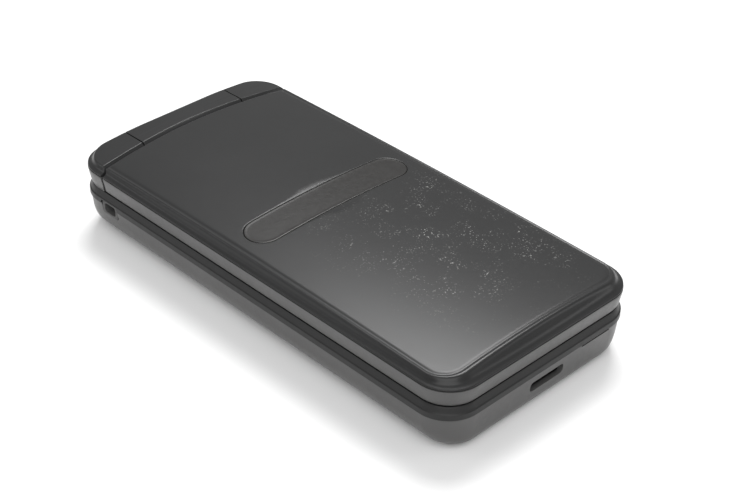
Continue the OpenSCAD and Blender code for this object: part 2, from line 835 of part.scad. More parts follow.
module hinge_unit() {
    color("#9b9ba0")
        difference() {
            hinge_cylinder(unit_r, -trough_half - unit_l, -trough_half, 64);
            hinge_cylinder(shaft_r + running_fit, -trough_half - unit_l + 0.8, -trough_half + 1, 64);
        }
}

module hinge_shaft() {
    color("#b9b9bd") {
        hinge_cylinder(shaft_r, -trough_half - unit_l + 1, -barrel_half + 0.2, 64);
        drive(0, -barrel_half + drive_l);
    }
}

// Flatted end of the shaft, which turns the barrel
module drive(grow, x1) {
    intersection() {
        hinge_cylinder(unit_r + grow, -barrel_half, x1, 64);
        translate([-far / 2, hinge_y - unit_r * 0.8 - grow, 0]) cube([far, unit_r * 1.6 + 2 * grow, far]);
    }
}

module pivot_bush() {
    color("#a8a8ac")
        difference() {
            hinge_cylinder(unit_r, barrel_half - 5, bush_end, 64);
            hinge_cylinder(shaft_r + 0.3, barrel_half - 6, bush_end + 1, 64);
        }
}

module hinge_flex() {
    color("#b0782c")
        difference() {
            hinge_cylinder(shaft_r + 0.15, barrel_half - 8, bush_end - 0.5, 48);
            hinge_cylinder(shaft_r - 0.1, barrel_half - 9, bush_end, 48);
            translate([0, hinge_y - 0.4, hinge_z]) cube([far, 0.8, far]);
        }
}

// ---------- lid ----------

module lid_screw_holes(r, z0, z1) {
    for (p = lid_screw_xy, s = [-1, 1])
        translate([s * p.x, p.y, z0]) cylinder(h = z1 - z0, r = r, $fn = 24);
}

module lid_frame() {
    slot_gap = 0.1;
    color("#626265")
        difference() {
            union() {
                difference() {
                    band(frame_profile);
                    behind(hinge_y);
                    for (s = [-1, 1])
                        hinge_cylinder(frame_cut_r, s > 0 ? barrel_half : -far, s > 0 ? far : -barrel_half);
                }
                intersection() {
                    band(barrel_profile);
                    hinge_cylinder(knuckle_r, -barrel_half, barrel_half);
                }
                hinge_cylinder(barrel_core_r, -barrel_half, barrel_half);
            }
            drive(rest_gap, -barrel_half + drive_l + 0.2);
            hinge_cylinder(unit_r + running_fit, barrel_half - 9, barrel_half + 1, 64);
            difference() {
                inset_slab(frame_wall, z_lid_in, z_rim + 1);
                behind(hinge_y - frame_cut_r - 1.2);
            }
            translate([0, window_y, z_lid - 1])
                linear_extrude(1 + window_t + seat_gap)
                    rounded_rect(window_w + 2 * seat_gap, window_l + 2 * seat_gap, 2);
            translate([0, window_y, z_lid])
                linear_extrude(5)
                    rounded_rect(window_w - 2 * window_rim, window_l - 2 * window_rim_l, 1);
            translate([0, earpiece_y, z_lid - 1])
                linear_extrude(5) rounded_rect(slot_w + 2 * slot_gap, slot_l + 2 * slot_gap, 0.7);
            lid_screw_holes(screw_r + rest_gap, z_lid - 1, z_rim);
            lid_screw_holes(head_r + rest_gap, z_lid - 1, z_lid + bumper_t - 0.1 + head_t);
            lid_screw_holes(bumper_r + rest_gap, z_lid - 1, z_lid + bumper_t - 0.2);
        }
}

module lid_cover() {
    color("#333335")
        difference() {
            union() {
                difference() {
                    lid_form();
                    difference() {
                        lid_space(wall);
                        hinge_cylinder(cover_cut_r + wall, -far, far);
                        behind(hinge_y);
                    }
                }
                intersection() {
                    for (p = lid_screw_xy, s = [-1, 1])
                        translate([s * p.x, p.y, z_lid_in + 1]) cylinder(h = 5, r = boss_r, $fn = 24);
                    boss_space();
                }
            }
            hinge_cylinder(cover_cut_r, -far, far);
            behind(cover_y);
            for (s = [-1, 1])
                translate([s * (barrel_half + slit / 2) - slit / 2, cover_y - seam_w, z_rim + flange_h])
                    cube([slit, far, far]);
            stadium(notice_l, notice_w, z_rim, z_rim + 10);
            lid_screw_holes(screw_r + rest_gap, z_lid, z_rim + 1);
        }
}

// The room that the lid cover's screw bosses reach into
module boss_space() {
    lid_space(wall / 2);
    inset_slab(frame_wall + 0.1, z_lid_in, z_rim);
}

module notice_window() {
    color("#3a3634")
        intersection() {
            difference() {
                lid_form();
                lid_space(wall);
            }
            stadium(notice_l - 2 * rest_gap, notice_w - 2 * rest_gap, z_rim, z_rim + 10);
        }
}

module sub_display() {
    w = notice_l - 2 * sub_display_in;
    l = notice_w - 1.2;
    color("#232327")
        translate([-w / 2, notice_y - l / 2, lid_board_z + board_t + 0.1]) cube([w, l, 1.3]);
}

module lid_board() {
    w = window_w - 5.6;
    lo = window_lo + lid_board_chin;
    hi = window_hi - lid_board_hinge;
    color("#1f4a33") translate([-w / 2, lo, lid_board_z]) cube([w, hi - lo, board_t]);
}

module main_display() {
    color("#1b1d22")
        translate([0, window_y, z_lid + window_t + seat_gap])
            linear_extrude(lid_plate_t - window_t + display_t)
                rounded_rect(window_w - 2 * window_rim - 0.2, window_l - 2 * window_rim_l - 0.2, 0.8);
}

module main_window() {
    color("#0d0e11")
        translate([0, window_y, z_lid + 0.08])
            linear_extrude(window_t) rounded_rect(window_w, window_l, 1.9);
}

module earpiece() {
    color("#2a2a2c")
        translate([0, earpiece_y + 0.2, z_lid_in + rest_gap])
            linear_extrude(2) rounded_rect(earpiece_w, 4.6, 1);
}

module earpiece_mesh() {
    color("#777a7d")
        translate([0, earpiece_y, z_lid + 0.15])
            linear_extrude(lid_plate_t - 0.2) rounded_rect(slot_w, slot_l, 0.6);
}

module lid_bumpers() {
    color("#1c1c1e")
        for (p = lid_screw_xy, s = [-1, 1])
            translate([s * p.x, p.y, z_lid - 0.2]) cylinder(h = bumper_t - 0.05, r = bumper_r, $fn = 32);
}

module lid_screws() {
    color("#8a8a8e")
        for (p = lid_screw_xy, s = [-1, 1])
            translate([s * p.x, p.y, z_lid + bumper_t - 0.15]) {
                cylinder(h = head_t, r = head_r, $fn = 24);
                cylinder(h = 3.5, r = screw_r, $fn = 24);
            }
}

battery_cover();
upper_case();
chassis();
cover_seal();
battery_pack();
main_board();
dome_sheet();
key_mat();
usb_socket();
card_tray();
camera_module();
camera_window();
loudspeaker();
vibration_motor();
base_screws();
knuckle(-1, unit_r + rest_gap);  // knuckle_left
knuckle(1, unit_r + rest_gap);  // knuckle_right
hinge_cap(-1);  // hinge_cap_left
hinge_cap(1);  // hinge_cap_right
hinge_unit();
pivot_bush();
hinge_flex();
hinge_shaft();
barrel_cover();
lid_frame();
lid_cover();
notice_window();
sub_display();
lid_board();
main_display();
main_window();
earpiece();
earpiece_mesh();
lid_bumpers();
lid_screws();
nav_key(90);  // nav_up
nav_key(-90);  // nav_down
nav_key(180);  // nav_left
nav_key(0);  // nav_right
key_select();
soft_key(-1, 1);  // key_soft_left
soft_key(1, 1);  // key_soft_right
soft_key(-1, -1);  // key_mail
soft_key(1, -1);  // key_web
number_key(-1, 4);  // key_call
number_key(0, 4);  // key_clear
number_key(1, 4);  // key_end
number_key(-1, 3);  // key_1
number_key(0, 3);  // key_2
number_key(1, 3);  // key_3
number_key(-1, 2);  // key_4
middle_key();  // key_5
number_key(1, 2);  // key_6
number_key(-1, 1);  // key_7
number_key(0, 1);  // key_8
number_key(1, 1);  // key_9
number_key(-1, 0);  // key_star
number_key(0, 0);  // key_0
number_key(1, 0);  // key_hash
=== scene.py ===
"""Looks of a flip phone: smooth outer mouldings, finishes, key legends, light and camera."""
import json
import math

import bmesh
import bpy
from mathutils import Matrix, Vector


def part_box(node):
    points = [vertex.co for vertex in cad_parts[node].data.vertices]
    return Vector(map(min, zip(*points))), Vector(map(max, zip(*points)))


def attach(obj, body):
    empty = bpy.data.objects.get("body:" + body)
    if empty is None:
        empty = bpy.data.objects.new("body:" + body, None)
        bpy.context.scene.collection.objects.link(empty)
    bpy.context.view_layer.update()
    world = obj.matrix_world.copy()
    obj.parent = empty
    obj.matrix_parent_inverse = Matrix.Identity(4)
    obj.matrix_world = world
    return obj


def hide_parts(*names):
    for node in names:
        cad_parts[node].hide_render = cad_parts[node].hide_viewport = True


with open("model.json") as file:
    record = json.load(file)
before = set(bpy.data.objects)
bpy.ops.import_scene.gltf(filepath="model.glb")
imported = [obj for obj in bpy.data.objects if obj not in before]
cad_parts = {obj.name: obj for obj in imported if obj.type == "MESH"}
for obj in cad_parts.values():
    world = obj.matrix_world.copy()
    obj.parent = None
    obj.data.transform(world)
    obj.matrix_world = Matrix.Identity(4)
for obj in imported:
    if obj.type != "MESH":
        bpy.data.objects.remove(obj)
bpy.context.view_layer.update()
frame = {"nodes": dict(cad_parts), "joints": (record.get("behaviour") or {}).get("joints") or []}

# ---------------------------------------------------------------------------
# Sizes in millimetres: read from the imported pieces, or taken from the photo to lie inside them
# ---------------------------------------------------------------------------

MM = 0.001


def box_mm(node):
    """Lowest and highest corner of a CAD piece, in millimetres."""
    low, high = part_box(node)
    return low / MM, high / MM


hinge_joint = next(j for j in frame["joints"] if j["name"] == "lid_hinge")
AXIS_Y = hinge_joint["pos_m"][1] / MM
AXIS_Z = hinge_joint["pos_m"][2] / MM
HALF_W = box_mm("upper_case")[1].x
HALF_L = box_mm("upper_case")[1].y
SPLIT_Z = box_mm("battery_cover")[1].z
RIM_Z = box_mm("hinge_cap_left")[0].z
BARREL_HALF = box_mm("barrel_cover")[1].x
CAP_START = box_mm("hinge_cap_right")[0].x
WALL = 1.1

# Round corners of the outline, and the least radius that an inset ring keeps
CORNER_R = 7.2
MIN_CORNER_R = 1.5

# The lid's rounded edge: its ledge, the insets of its top, its rise, and where the crown sets in
LEDGE = 0.8
EDGE_SIDE = 1.6
EDGE_CHIN = 2.7
EDGE_REAR = 1.7
EDGE_RISE = 1.6
EDGE_Z = RIM_Z + EDGE_RISE
CROWN_FOOT = 0.55
CROWN_L = 0.6
CROWN_W = 1.2

# Cylinders about the hinge axis: the strip's front and the lid cover's rear with its rounded lip
STRIP_R = 5.1
STRIP_BLEND = 0.07
STRIP_AHEAD = 3.0
COVER_CUT_R = 5.85
COVER_LIP = 0.3
COVER_AHEAD = 4.0

# Notice window: a stadium across the lid
NOTICE_L = 41.0
NOTICE_W = 8.0
NOTICE_Y = 4.3
NOTICE_R = NOTICE_W / 2
NOTICE_FLAT = (NOTICE_L - NOTICE_W) / 2

# Openings of the battery cover: port, nail notch, strap eye with its tab, camera and slots
PORT_X, PORT_Z = 0.9, 5.35
PORT_W, PORT_H, PORT_CORNER, PORT_DEPTH = 9.0, 2.2, 0.8, 4.0
NAIL_X, NAIL_L, NAIL_H, NAIL_DEPTH = 10.1, 7.8, 0.6, WALL + 0.3
EYE_Y, EYE_Z = 42.4, SPLIT_Z - 0.65
EYE_IN, EYE_R, EYE_TOP = 2.7, 1.05, 5.0
TAB_L, TAB_H, TAB_CORNER, TAB_GAP, TAB_DEPTH = 5.0, 3.0, 0.7, 0.2, 3.8
CAMERA_Y, CAMERA_R = 30.0, 4.1
SLOT_X, SLOT_L, SLOT_W, SLOT_CORNER, SLOT_PITCH = -14.0, 7.0, 0.8, 0.39, 1.9
FLOOR_TOP = 3.0
OVERCUT = 1.0

# ---------------------------------------------------------------------------
# Mesh tools
# ---------------------------------------------------------------------------

BEVEL_STEPS = 2
SHARP_ANGLE = 32
MERGE = 1e-6
MERGE_CUT = 8e-6
MERGE_CAD = 2e-6
FLAT_ANGLE = 0.4
BOX_ARC_STEPS = 8
CIRCLE_SIDES = 48


def steps(start, stop, count):
    """Count + 1 even values from start to stop."""
    return [start + (stop - start) * i / count for i in range(count + 1)]


def ease(low, high, value):
    """Smooth step from 0 to 1 between two values."""
    t = min(max((value - low) / (high - low), 0), 1)
    return t * t * (3 - 2 * t)


def crown(x, y):
    """Height that the crown adds to the lid's top."""
    across = 1 - (x / (HALF_W - EDGE_SIDE)) ** 2
    along = 1 - (y / HALF_L) ** 2
    return CROWN_L * along + CROWN_W * across


def top_z(x, y):
    """Height of the lid's crowned top."""
    return EDGE_Z + crown(x, y)


def lip_drop(distance, radius):
    """Drop of a rounded lip at a distance from its face."""
    if distance >= radius:
        return 0.0
    return radius - math.sqrt(radius ** 2 - (radius - max(distance, 0)) ** 2)


def cylinder_y(z, radius):
    """Y of the front of a cylinder about the hinge axis at one height."""
    return AXIS_Y - math.sqrt(max(radius ** 2 - (z - AXIS_Z) ** 2, 0))


def linked(name, data):
    """A new object of the scene."""
    obj = bpy.data.objects.new(name, data)
    bpy.context.scene.collection.objects.link(obj)
    return obj


def raw_object(name, points, edges=(), faces=()):
    """An object from points in millimetres, with its edges or faces as they are."""
    mesh = bpy.data.meshes.new(name)
    mesh.from_pydata([(x * MM, y * MM, z * MM) for x, y, z in points], list(edges), list(faces))
    return linked(name, mesh)


def mesh_object(name, points, faces):
    """A closed mesh from points in millimetres, its faces turned outwards."""
    obj = raw_object(name, points, faces=faces)
    clean(obj)
    return obj


def clean(obj, merge=MERGE):
    """Merges doubled points and turns the faces outwards."""
    bm = bmesh.new()
    bm.from_mesh(obj.data)
    bmesh.ops.remove_doubles(bm, verts=bm.verts, dist=merge)
    bmesh.ops.recalc_face_normals(bm, faces=bm.faces)
    bm.to_mesh(obj.data)
    bm.free()


def loft(name, rings, cyclic=False):
    """Skin through rings of equal count; the last joins the first, or both ends are filled."""
    count = len(rings[0])
    points = [p for ring in rings for p in ring]
    last = len(rings) if cyclic else len(rings) - 1
    faces = []
    for k in range(last):
        here, there = k * count, (k + 1) % len(rings) * count
        for i in range(count):
            j = (i + 1) % count
            faces.append((here + i, here + j, there + j, there + i))
    if not cyclic:
        faces.append(tuple(range(count)))
        faces.append(tuple(reversed(range(len(points) - count, len(points)))))
    return mesh_object(name, points, faces)


def block(name, low, high):
    """Plain box, used as a cutter."""
    (x0, y0, z0), (x1, y1, z1) = low, high
    ring = [(x0, y0), (x1, y0), (x1, y1), (x0, y1)]
    return loft(name, [[(x, y, z) for x, y in ring] for z in (z0, z1)])


def prism(name, outline, place, z0, z1):
    """Outline drawn up along Z from z0 to z1, moved to a place."""
    return loft(name, [[(x + place[0], y + place[1], z) for x, y in outline] for z in (z0, z1)])


def rounded_box_outline(width, height, radius):
    """Rectangle about the origin with round corners."""
    points = []
    for quarter, (sx, sy) in enumerate(((1, 1), (-1, 1), (-1, -1), (1, -1))):
        for i in range(BOX_ARC_STEPS + 1):
            a = math.radians(90 * (quarter + i / BOX_ARC_STEPS))
            points.append((sx * (width / 2 - radius) + radius * math.cos(a),
                           sy * (height / 2 - radius) + radius * math.sin(a)))
    return points


def circle(radius):
    """Circle about the origin."""
    turns = [2 * math.pi * i / CIRCLE_SIDES for i in range(CIRCLE_SIDES)]
    return [(radius * math.cos(a), radius * math.sin(a)) for a in turns]


def carve(piece, cutter, operation="DIFFERENCE"):
    """Cuts one mesh by another and drops the cutter."""
    modifier = piece.modifiers.new("cut", "BOOLEAN")
    modifier.operation = operation
    modifier.solver = "EXACT"
    modifier.object = cutter
    settle(piece)
    bpy.data.objects.remove(cutter)


def evaluated_mesh(obj):
    """Plain mesh of an object with its modifiers or its text worked out."""
    bpy.context.view_layer.update()
    graph = bpy.context.evaluated_depsgraph_get()
    return bpy.data.meshes.new_from_object(obj.evaluated_get(graph))


def settle(piece):
    """Replaces a piece's mesh by its evaluated one and drops its modifiers."""
    mesh = evaluated_mesh(piece)
    piece.modifiers.clear()
    piece.data = mesh


def soften(piece, width=0.0, angle=SHARP_ANGLE):
    """Smooth shading, sharp past an angle, with rounded edges of a real width in millimetres."""
    piece.data.shade_smooth()
    if width:
        bevel = piece.modifiers.new("edges", "BEVEL")
        bevel.width = width * MM
        bevel.segments = BEVEL_STEPS
        bevel.limit_method = "ANGLE"
        bevel.angle_limit = math.radians(angle)
        bevel.use_clamp_overlap = True
        bevel.miter_outer = "MITER_ARC"
        settle(piece)
        piece.data.shade_smooth()
    piece.data.set_sharp_from_angle(angle=math.radians(angle))
    weighted = piece.modifiers.new("normals", "WEIGHTED_NORMAL")
    weighted.keep_sharp = True
    weighted.weight = 80


def refined(node, width):
    """A copy of a CAD piece with its doubles merged, flat faces joined and edges rounded."""
    piece = frame["nodes"][node].copy()
    piece.data = piece.data.copy()
    piece.name = node + "_skin"
    piece.parent = None
    for key in list(piece.keys()):
        del piece[key]
    bpy.context.scene.collection.objects.link(piece)
    bm = bmesh.new()
    bm.from_mesh(piece.data)
    bmesh.ops.remove_doubles(bm, verts=bm.verts, dist=MERGE_CAD)
    bmesh.ops.dissolve_limit(bm, angle_limit=math.radians(FLAT_ANGLE), verts=bm.verts, edges=bm.edges)
    bm.to_mesh(piece.data)
    bm.free()
    soften(piece, width)
    return piece


def paint(obj, material):
    """Leaves a piece with one material."""
    obj.data.materials.clear()
    obj.data.materials.append(material)


def dress(piece, body, material, replaces=()):
    """Gives a piece its finish and its body, and hides the CAD pieces it stands for."""
    paint(piece, material)
    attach(piece, body)
    if replaces:
        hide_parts(*replaces)


# ---------------------------------------------------------------------------
# Shader tools
# ---------------------------------------------------------------------------

ROUND_SAMPLES = 6


class Value:
    """One output socket, which arithmetic turns into Math nodes."""

    def __init__(self, finish, socket):
        self.finish = finish
        self.socket = socket

    def math(self, operation, other):
        return self.finish.node("ShaderNodeMath", {"operation": operation}, [self, other])

    def __mul__(self, other):
        return self.math("MULTIPLY", other)

    def __gt__(self, other):
        return self.math("GREATER_THAN", other)

    def __lt__(self, other):
        return self.math("LESS_THAN", other)

    __rmul__ = __mul__


class Finish:
    """A material with one Principled shader, built by named calls."""

    def __init__(self, name, **sockets):
        self.material = bpy.data.materials.new(name)
        self.material.use_nodes = True
        self.tree = self.material.node_tree
        self.shader = self.tree.nodes["Principled BSDF"]
        for key, value in sockets.items():
            self.shader.inputs[key.replace("_", " ")].default_value = value

    def node(self, kind, settings=None, values=(), out=0):
        """Adds a node: its settings first, then its sockets by number or name."""
        added = self.tree.nodes.new(kind)
        for key, value in (settings or {}).items():
            if key == "ramp":
                set_ramp(added.color_ramp, value)
            else:
                setattr(added, key, value)
        pairs = values.items() if isinstance(values, dict) else enumerate(values)
        for key, value in pairs:
            if isinstance(value, Value):
                self.tree.links.new(value.socket, added.inputs[key])
            else:
                added.inputs[key].default_value = value
        return Value(self, added.outputs[out])

    def place(self):
        """Object coordinates."""
        return self.node("ShaderNodeTexCoord", out="Object")

    def axes(self):
        """X, Y and Z of a point of the piece, in metres."""
        split = self.node("ShaderNodeSeparateXYZ", None, [self.place()])
        outputs = split.socket.node.outputs
        return [Value(self, outputs[i]) for i in range(3)]

    def noise(self, scale, detail=2.0, roughness=0.5, stretch=None):
        """Noise on the piece's own coordinates, stretched where that is asked for."""
        vector = self.place()
        if stretch:
            vector = self.node("ShaderNodeMapping", None, {"Vector": vector, "Scale": stretch})
        values = {"Vector": vector, "Scale": scale, "Detail": detail, "Roughness": roughness}
        return self.node("ShaderNodeTexNoise", None, values, out="Fac")

    def ramp(self, value, *stops):
        """Colour ramp with stops of a position and a colour."""
        return self.node("ShaderNodeValToRGB", {"ramp": stops}, [value], out="Color")

    def grade(self, value, low, high, to_low=0.0, to_high=1.0):
        """Maps a range of values to another, held at its ends."""
        values = [value, low, high, to_low, to_high]
        return self.node("ShaderNodeMapRange", {"interpolation_type": "SMOOTHSTEP"}, values)

    def mix(self, factor, first, second):
        """Mixes two colours, whose sockets are the node's sixth and seventh."""
        values = {"Factor": factor, 6: first, 7: second}
        return self.node("ShaderNodeMix", {"data_type": "RGBA"}, values, out=2)

    def bump(self, height, distance, strength, normal):
        """Bump on top of another normal."""
        values = {"Strength": strength, "Distance": distance, "Height": height, "Normal": normal}
        return self.node("ShaderNodeBump", None, values)

    def rounded(self, radius_mm):
        """Shading normal that rounds sharp edges by a real radius."""
        return self.node("ShaderNodeBevel", {"samples": ROUND_SAMPLES}, {"Radius": radius_mm * MM})

    def feed(self, **links):
        """Links values to the shader's sockets."""
        for key, value in links.items():
            self.tree.links.new(value.socket, self.shader.inputs[key.replace("_", " ")])
        return self

    def recolor(self, mask, color):
        """Lays another colour over the base colour where a mask is 1."""
        base = Value(self, self.shader.inputs["Base Color"].links[0].from_socket)
        return self.feed(Base_Color=self.mix(mask, base, color))


def set_ramp(ramp, stops):
    """Sets a colour ramp's stops."""
    while len(ramp.elements) < len(stops):
        ramp.elements.new(1.0)
    for element, (position, color) in zip(ramp.elements, stops):
        element.position = position
        element.color = color


def grey(level, warm=0.0):
    """Dark grey, a little warm or cool."""
    return (level * (1 + warm), level, level * (1 - warm), 1)


# ---------------------------------------------------------------------------
# Finishes
# ---------------------------------------------------------------------------

# Noise scales of the moulded plastics: clouds, patches of gloss and grain, and the grain's depth
CLOUD_SCALE = 60
GLOSS_SCALE = 900
GRAIN_SCALE = 5200
GRAIN_DEPTH = 0.00004

# The lid's matte paint, which its hinge strip and caps share
DARK_PAINT = {"level": 0.016, "roughness": 0.29, "warm": -0.01, "grain": 0.08, "spread": 0.008}

# Worn specks, in metres: where they set in and fade out along and across, and their colour
WORN_ALONG = ((-0.052, -0.030), (0.010, -0.012))
WORN_ACROSS = ((-0.021, 0.004), (0.026, 0.018))
WORN_BELOW_EDGE = 0.4
WORN_COLOR = (0.3, 0.3, 0.29, 1)
LUG_DEPTH = 3.0
LUG_GREY = grey(0.075, 0.01)


def moulded(name, level, roughness, gloss=0.3, warm=0.0, grain=0.35, edge=0.12, spread=0.03):
    """Matte moulded plastic: clouded grey, fine grain and edges that catch the light."""
    finish = Finish(name, Specular_IOR_Level=gloss)
    clouds = finish.noise(CLOUD_SCALE, detail=3)
    color = finish.ramp(clouds, (0.3, grey(level * 0.93, warm)), (0.7, grey(level * 1.07, warm)))
    patches = finish.noise(GLOSS_SCALE, detail=2)
    rough = finish.grade(patches, 0.3, 0.7, roughness - spread, roughness + spread)
    normal = finish.bump(finish.noise(GRAIN_SCALE, detail=1), GRAIN_DEPTH, grain, finish.rounded(edge))
    return finish.feed(Base_Color=color, Roughness=rough, Normal=normal)


def lid_paint():
    """The lid's matte paint, with worn specks over the chin half."""
    finish = moulded("lid_paint", **DARK_PAINT)
    x, y, z = finish.axes()
    along = finish.grade(y, *WORN_ALONG[0]) * finish.grade(y, *WORN_ALONG[1])
    across = finish.grade(x, *WORN_ACROSS[0]) * finish.grade(x, *WORN_ACROSS[1])
    patches = finish.grade(finish.noise(190, detail=4, roughness=0.65), 0.45, 0.66)
    dots = finish.grade(finish.noise(2400, detail=2, roughness=0.6), 0.60, 0.70)
    on_top = z > (EDGE_Z - WORN_BELOW_EDGE) * MM
    return finish.recolor(along * across * patches * dots * on_top, WORN_COLOR).material


def chassis_plastic():
    """Inner case painted near-black as painted shade, so that the nail notch and the gaps read dark, but
    for the strap's lug, which keeps the battery cover's grey.
    """
    finish = moulded("chassis_plastic", 0.008, 0.5, gloss=0.2)
    x, y, z = finish.axes()
    lug = (x < (LUG_DEPTH - HALF_W) * MM) * (y > (EYE_Y - TAB_L) * MM) * (y < (EYE_Y + TAB_L) * MM)
    return finish.recolor(lug, LUG_GREY).material


def window_gloss():
    """Near-black window with faint smears."""
    finish = Finish("window_gloss", Specular_IOR_Level=0.5, Coat_Weight=0.6, Coat_Roughness=0.03)
    smear = finish.noise(70, detail=4)
    rough = finish.grade(smear, 0.35, 0.7, 0.05, 0.12)
    color = finish.ramp(smear, (0.3, grey(0.006)), (0.8, grey(0.009)))
    return finish.feed(Base_Color=color, Roughness=rough).material


def metal(name, level, roughness):
    """Plain metal with fine streaks."""
    finish = Finish(name, Metallic=1.0)
    streaks = finish.noise(300, detail=3, stretch=(1, 14, 1))
    color = finish.ramp(streaks, (0.3, grey(level * 0.9)), (0.7, grey(level * 1.05)))
    rough = finish.grade(streaks, 0.3, 0.7, roughness - 0.06, roughness + 0.06)
    return finish.feed(Base_Color=color, Roughness=rough, Normal=finish.rounded(0.1)).material


def film(name, color, roughness):
    """Plain coloured layer: board, flexible circuit, silicone mat or ink."""
    finish = Finish(name)
    specks = finish.noise(700, detail=3)
    dark = tuple(c * 0.8 for c in color) + (1,)
    shade = finish.ramp(specks, (0.35, dark), (0.65, color + (1,)))
    rough = finish.grade(specks, 0.3, 0.7, roughness - 0.05, roughness + 0.05)
    return finish.feed(Base_Color=shade, Roughness=rough).material


PAINT = lid_paint()
CAP = moulded("cap_paint", **DARK_PAINT).material
CASE = moulded("case_plastic", 0.02, 0.4, gloss=0.25).material
BAND = moulded("band_plastic", 0.07, 0.36, gloss=0.5, warm=0.01, grain=0.5).material
NOTICE = moulded("notice_plastic", 0.017, 0.32, warm=0.06, grain=0.2).material
INNER = moulded("inner_plastic", 0.012, 0.5, gloss=0.2).material
# Painted shade: the chassis is near-black so its notch and gaps read dark; only its lug keeps its own grey
CHASSIS_SHADE = chassis_plastic()
KEY = moulded("key_plastic", 0.04, 0.34, grain=0.2).material
NAV = moulded("nav_plastic", 0.06, 0.28, grain=0.15).material
RUBBER = moulded("bumper_rubber", 0.018, 0.65).material
WINDOW = window_gloss()
STEEL = metal("plain_steel", 0.5, 0.32)
DARK_STEEL = metal("dark_steel", 0.05, 0.4)
MAT = film("silicone_mat", (0.3, 0.3, 0.31), 0.5)
BOARD = film("solder_mask", (0.02, 0.1, 0.05), 0.35)
FLEX = film("circuit_film", (0.45, 0.22, 0.05), 0.4)
LEGEND = film("legend_ink", (0.62, 0.62, 0.6), 0.5)
GREEN_INK = film("green_ink", (0.05, 0.4, 0.1), 0.5)
RED_INK = film("red_ink", (0.5, 0.03, 0.02), 0.5)

# ---------------------------------------------------------------------------
# Lid cover: a crowned shell on a dark flange, cut by a cylinder at the hinge, rounded at the chin
# ---------------------------------------------------------------------------

# Inset on the long sides and height over the frame, from the groove at the foot to the top's edge
EDGE = [(0.5, 0.0), (0.5, 0.22), (0.1, 0.24), (0.06, 0.27), (0.06, 0.38), (0.08, 0.44),
        (0.14, 0.49), (0.22, 0.52), (0.5, 0.6), (0.74, 0.69), (0.88, 0.78), (0.99, 0.89),
        (1.08, 1.02), (1.17, 1.18), (1.26, 1.34), (1.36, 1.47), (1.46, 1.55), (1.54, 1.59),
        (1.6, 1.6)]
# Distance past that edge and height, across the shallow valley inside it
VALLEY = [(0.08, 0.0), (0.18, -0.03), (0.34, -0.085), (0.5, -0.115), (0.64, -0.115),
          (0.82, -0.075), (1.05, -0.02), (1.4, 0.0)]
# The valley fades out over these Y along the lip, and over these X towards its corners
VALLEY_FADE_Y = (41.5, 43.6)
VALLEY_FADE_X = (20.4, 22.2)
# Rounded rim of the notice window's opening: distance out from it and depth under the top
RIM_OUT = 0.14
RIM_STEPS = [(0.03, 0.05), (0.0, 0.14), (0.0, WALL)]
# Stations along the sides: steps back from the lip, the chin's end, and a margin round the window
LIP_STATIONS = (0.0, 0.04, 0.1, 0.19, 0.32)
LIP_END = 0.6
CHIN_STATION = -45.8
NOTICE_MARGIN = 3.0
SIDE_STEPS = (24, 64, 30)
ARC_STEPS = 24
END_STEPS = 44
TOP_RINGS = 22
UNDER_RINGS = 6
# Section of the notice window from its foot inwards: inset and height over the lid's top
NOTICE_GAP = 0.06
NOTICE_FIELD = (0.8, -0.04)
NOTICE_SECTION = [(0.0, -WALL), (0.0, -0.12), (0.05, -0.03), (0.15, 0.0), (0.35, 0.0), (0.5, -0.03),
                  NOTICE_FIELD]
NOTICE_MIDDLE = 0.02


def past_ledge(inset, edge):
    """Inset at an end of the lid whose edge lies further in than the long sides' edge."""
    if inset <= LEDGE:
        return inset
    return LEDGE + (inset - LEDGE) * (edge - LEDGE) / (EDGE_SIDE - LEDGE)


def crown_share(height):
    """How much of the crown a point of the edge's section carries."""
    return ease(CROWN_FOOT, EDGE_RISE, height)


def cover_edge(x):
    """Y of the lid cover's top edge at the hinge."""
    return cylinder_y(top_z(x, AXIS_Y - COVER_AHEAD), COVER_CUT_R)


def side_stations():
    """Shares of the lid's side from hinge to chin, closer at the lip and beside the notice window."""
    rear = cover_edge(0)
    fine = NOTICE_R + NOTICE_MARGIN
    marks = [rear - LIP_END, NOTICE_Y + fine, NOTICE_Y - fine, CHIN_STATION]
    ys = [rear - back for back in LIP_STATIONS] + [marks[0]]
    for start, stop, count in zip(marks, marks[1:], SIDE_STEPS):
        ys += steps(start, stop, count)[1:]
    return [(rear - y) / (rear - CHIN_STATION) for y in ys]


SIDE_SHARES = side_stations()


def lid_ring(side_in, chin_in, height, back=0.0):
    """Ring of the lid cover at a height that may depend on x and y."""
    radius = max(MIN_CORNER_R, CORNER_R - (side_in + chin_in) / 2)
    half_w = HALF_W - side_in
    chin_y = -(HALF_L - chin_in)

    def rear(x):
        return cylinder_y(height(x, cover_edge(x) - COVER_LIP), COVER_CUT_R) - back

    def rising(x):
        return [(x, rear(x) + (chin_y + radius - rear(x)) * t) for t in SIDE_SHARES]

    def arc(x_center, start):
        turns = [math.radians(start + 90 * i / ARC_STEPS) for i in range(1, ARC_STEPS)]
        return [(x_center + radius * math.cos(a), chin_y + radius + radius * math.sin(a)) for a in turns]

    plan = rising(-half_w) + arc(-half_w + radius, 180)
    plan += [(x, chin_y) for x in steps(-half_w + radius, half_w - radius, END_STEPS)]
    plan += arc(half_w - radius, 270) + rising(half_w)[::-1]
    plan += [(x, rear(x)) for x in steps(half_w, -half_w, END_STEPS)[1:-1]]
    return [(x, y, height(x, y)) for x, y in plan]


def cover_lift(x, y):
    """The crown, less the rounding of the cover's lip at the hinge."""
    return crown(x, y) - lip_drop(cover_edge(x) - y, COVER_LIP)


def valley_share(x, y):
    """The valley follows the sides and the chin, and fades out along the lip."""
    return 1 - ease(*VALLEY_FADE_Y, y) * (1 - ease(*VALLEY_FADE_X, abs(x)))


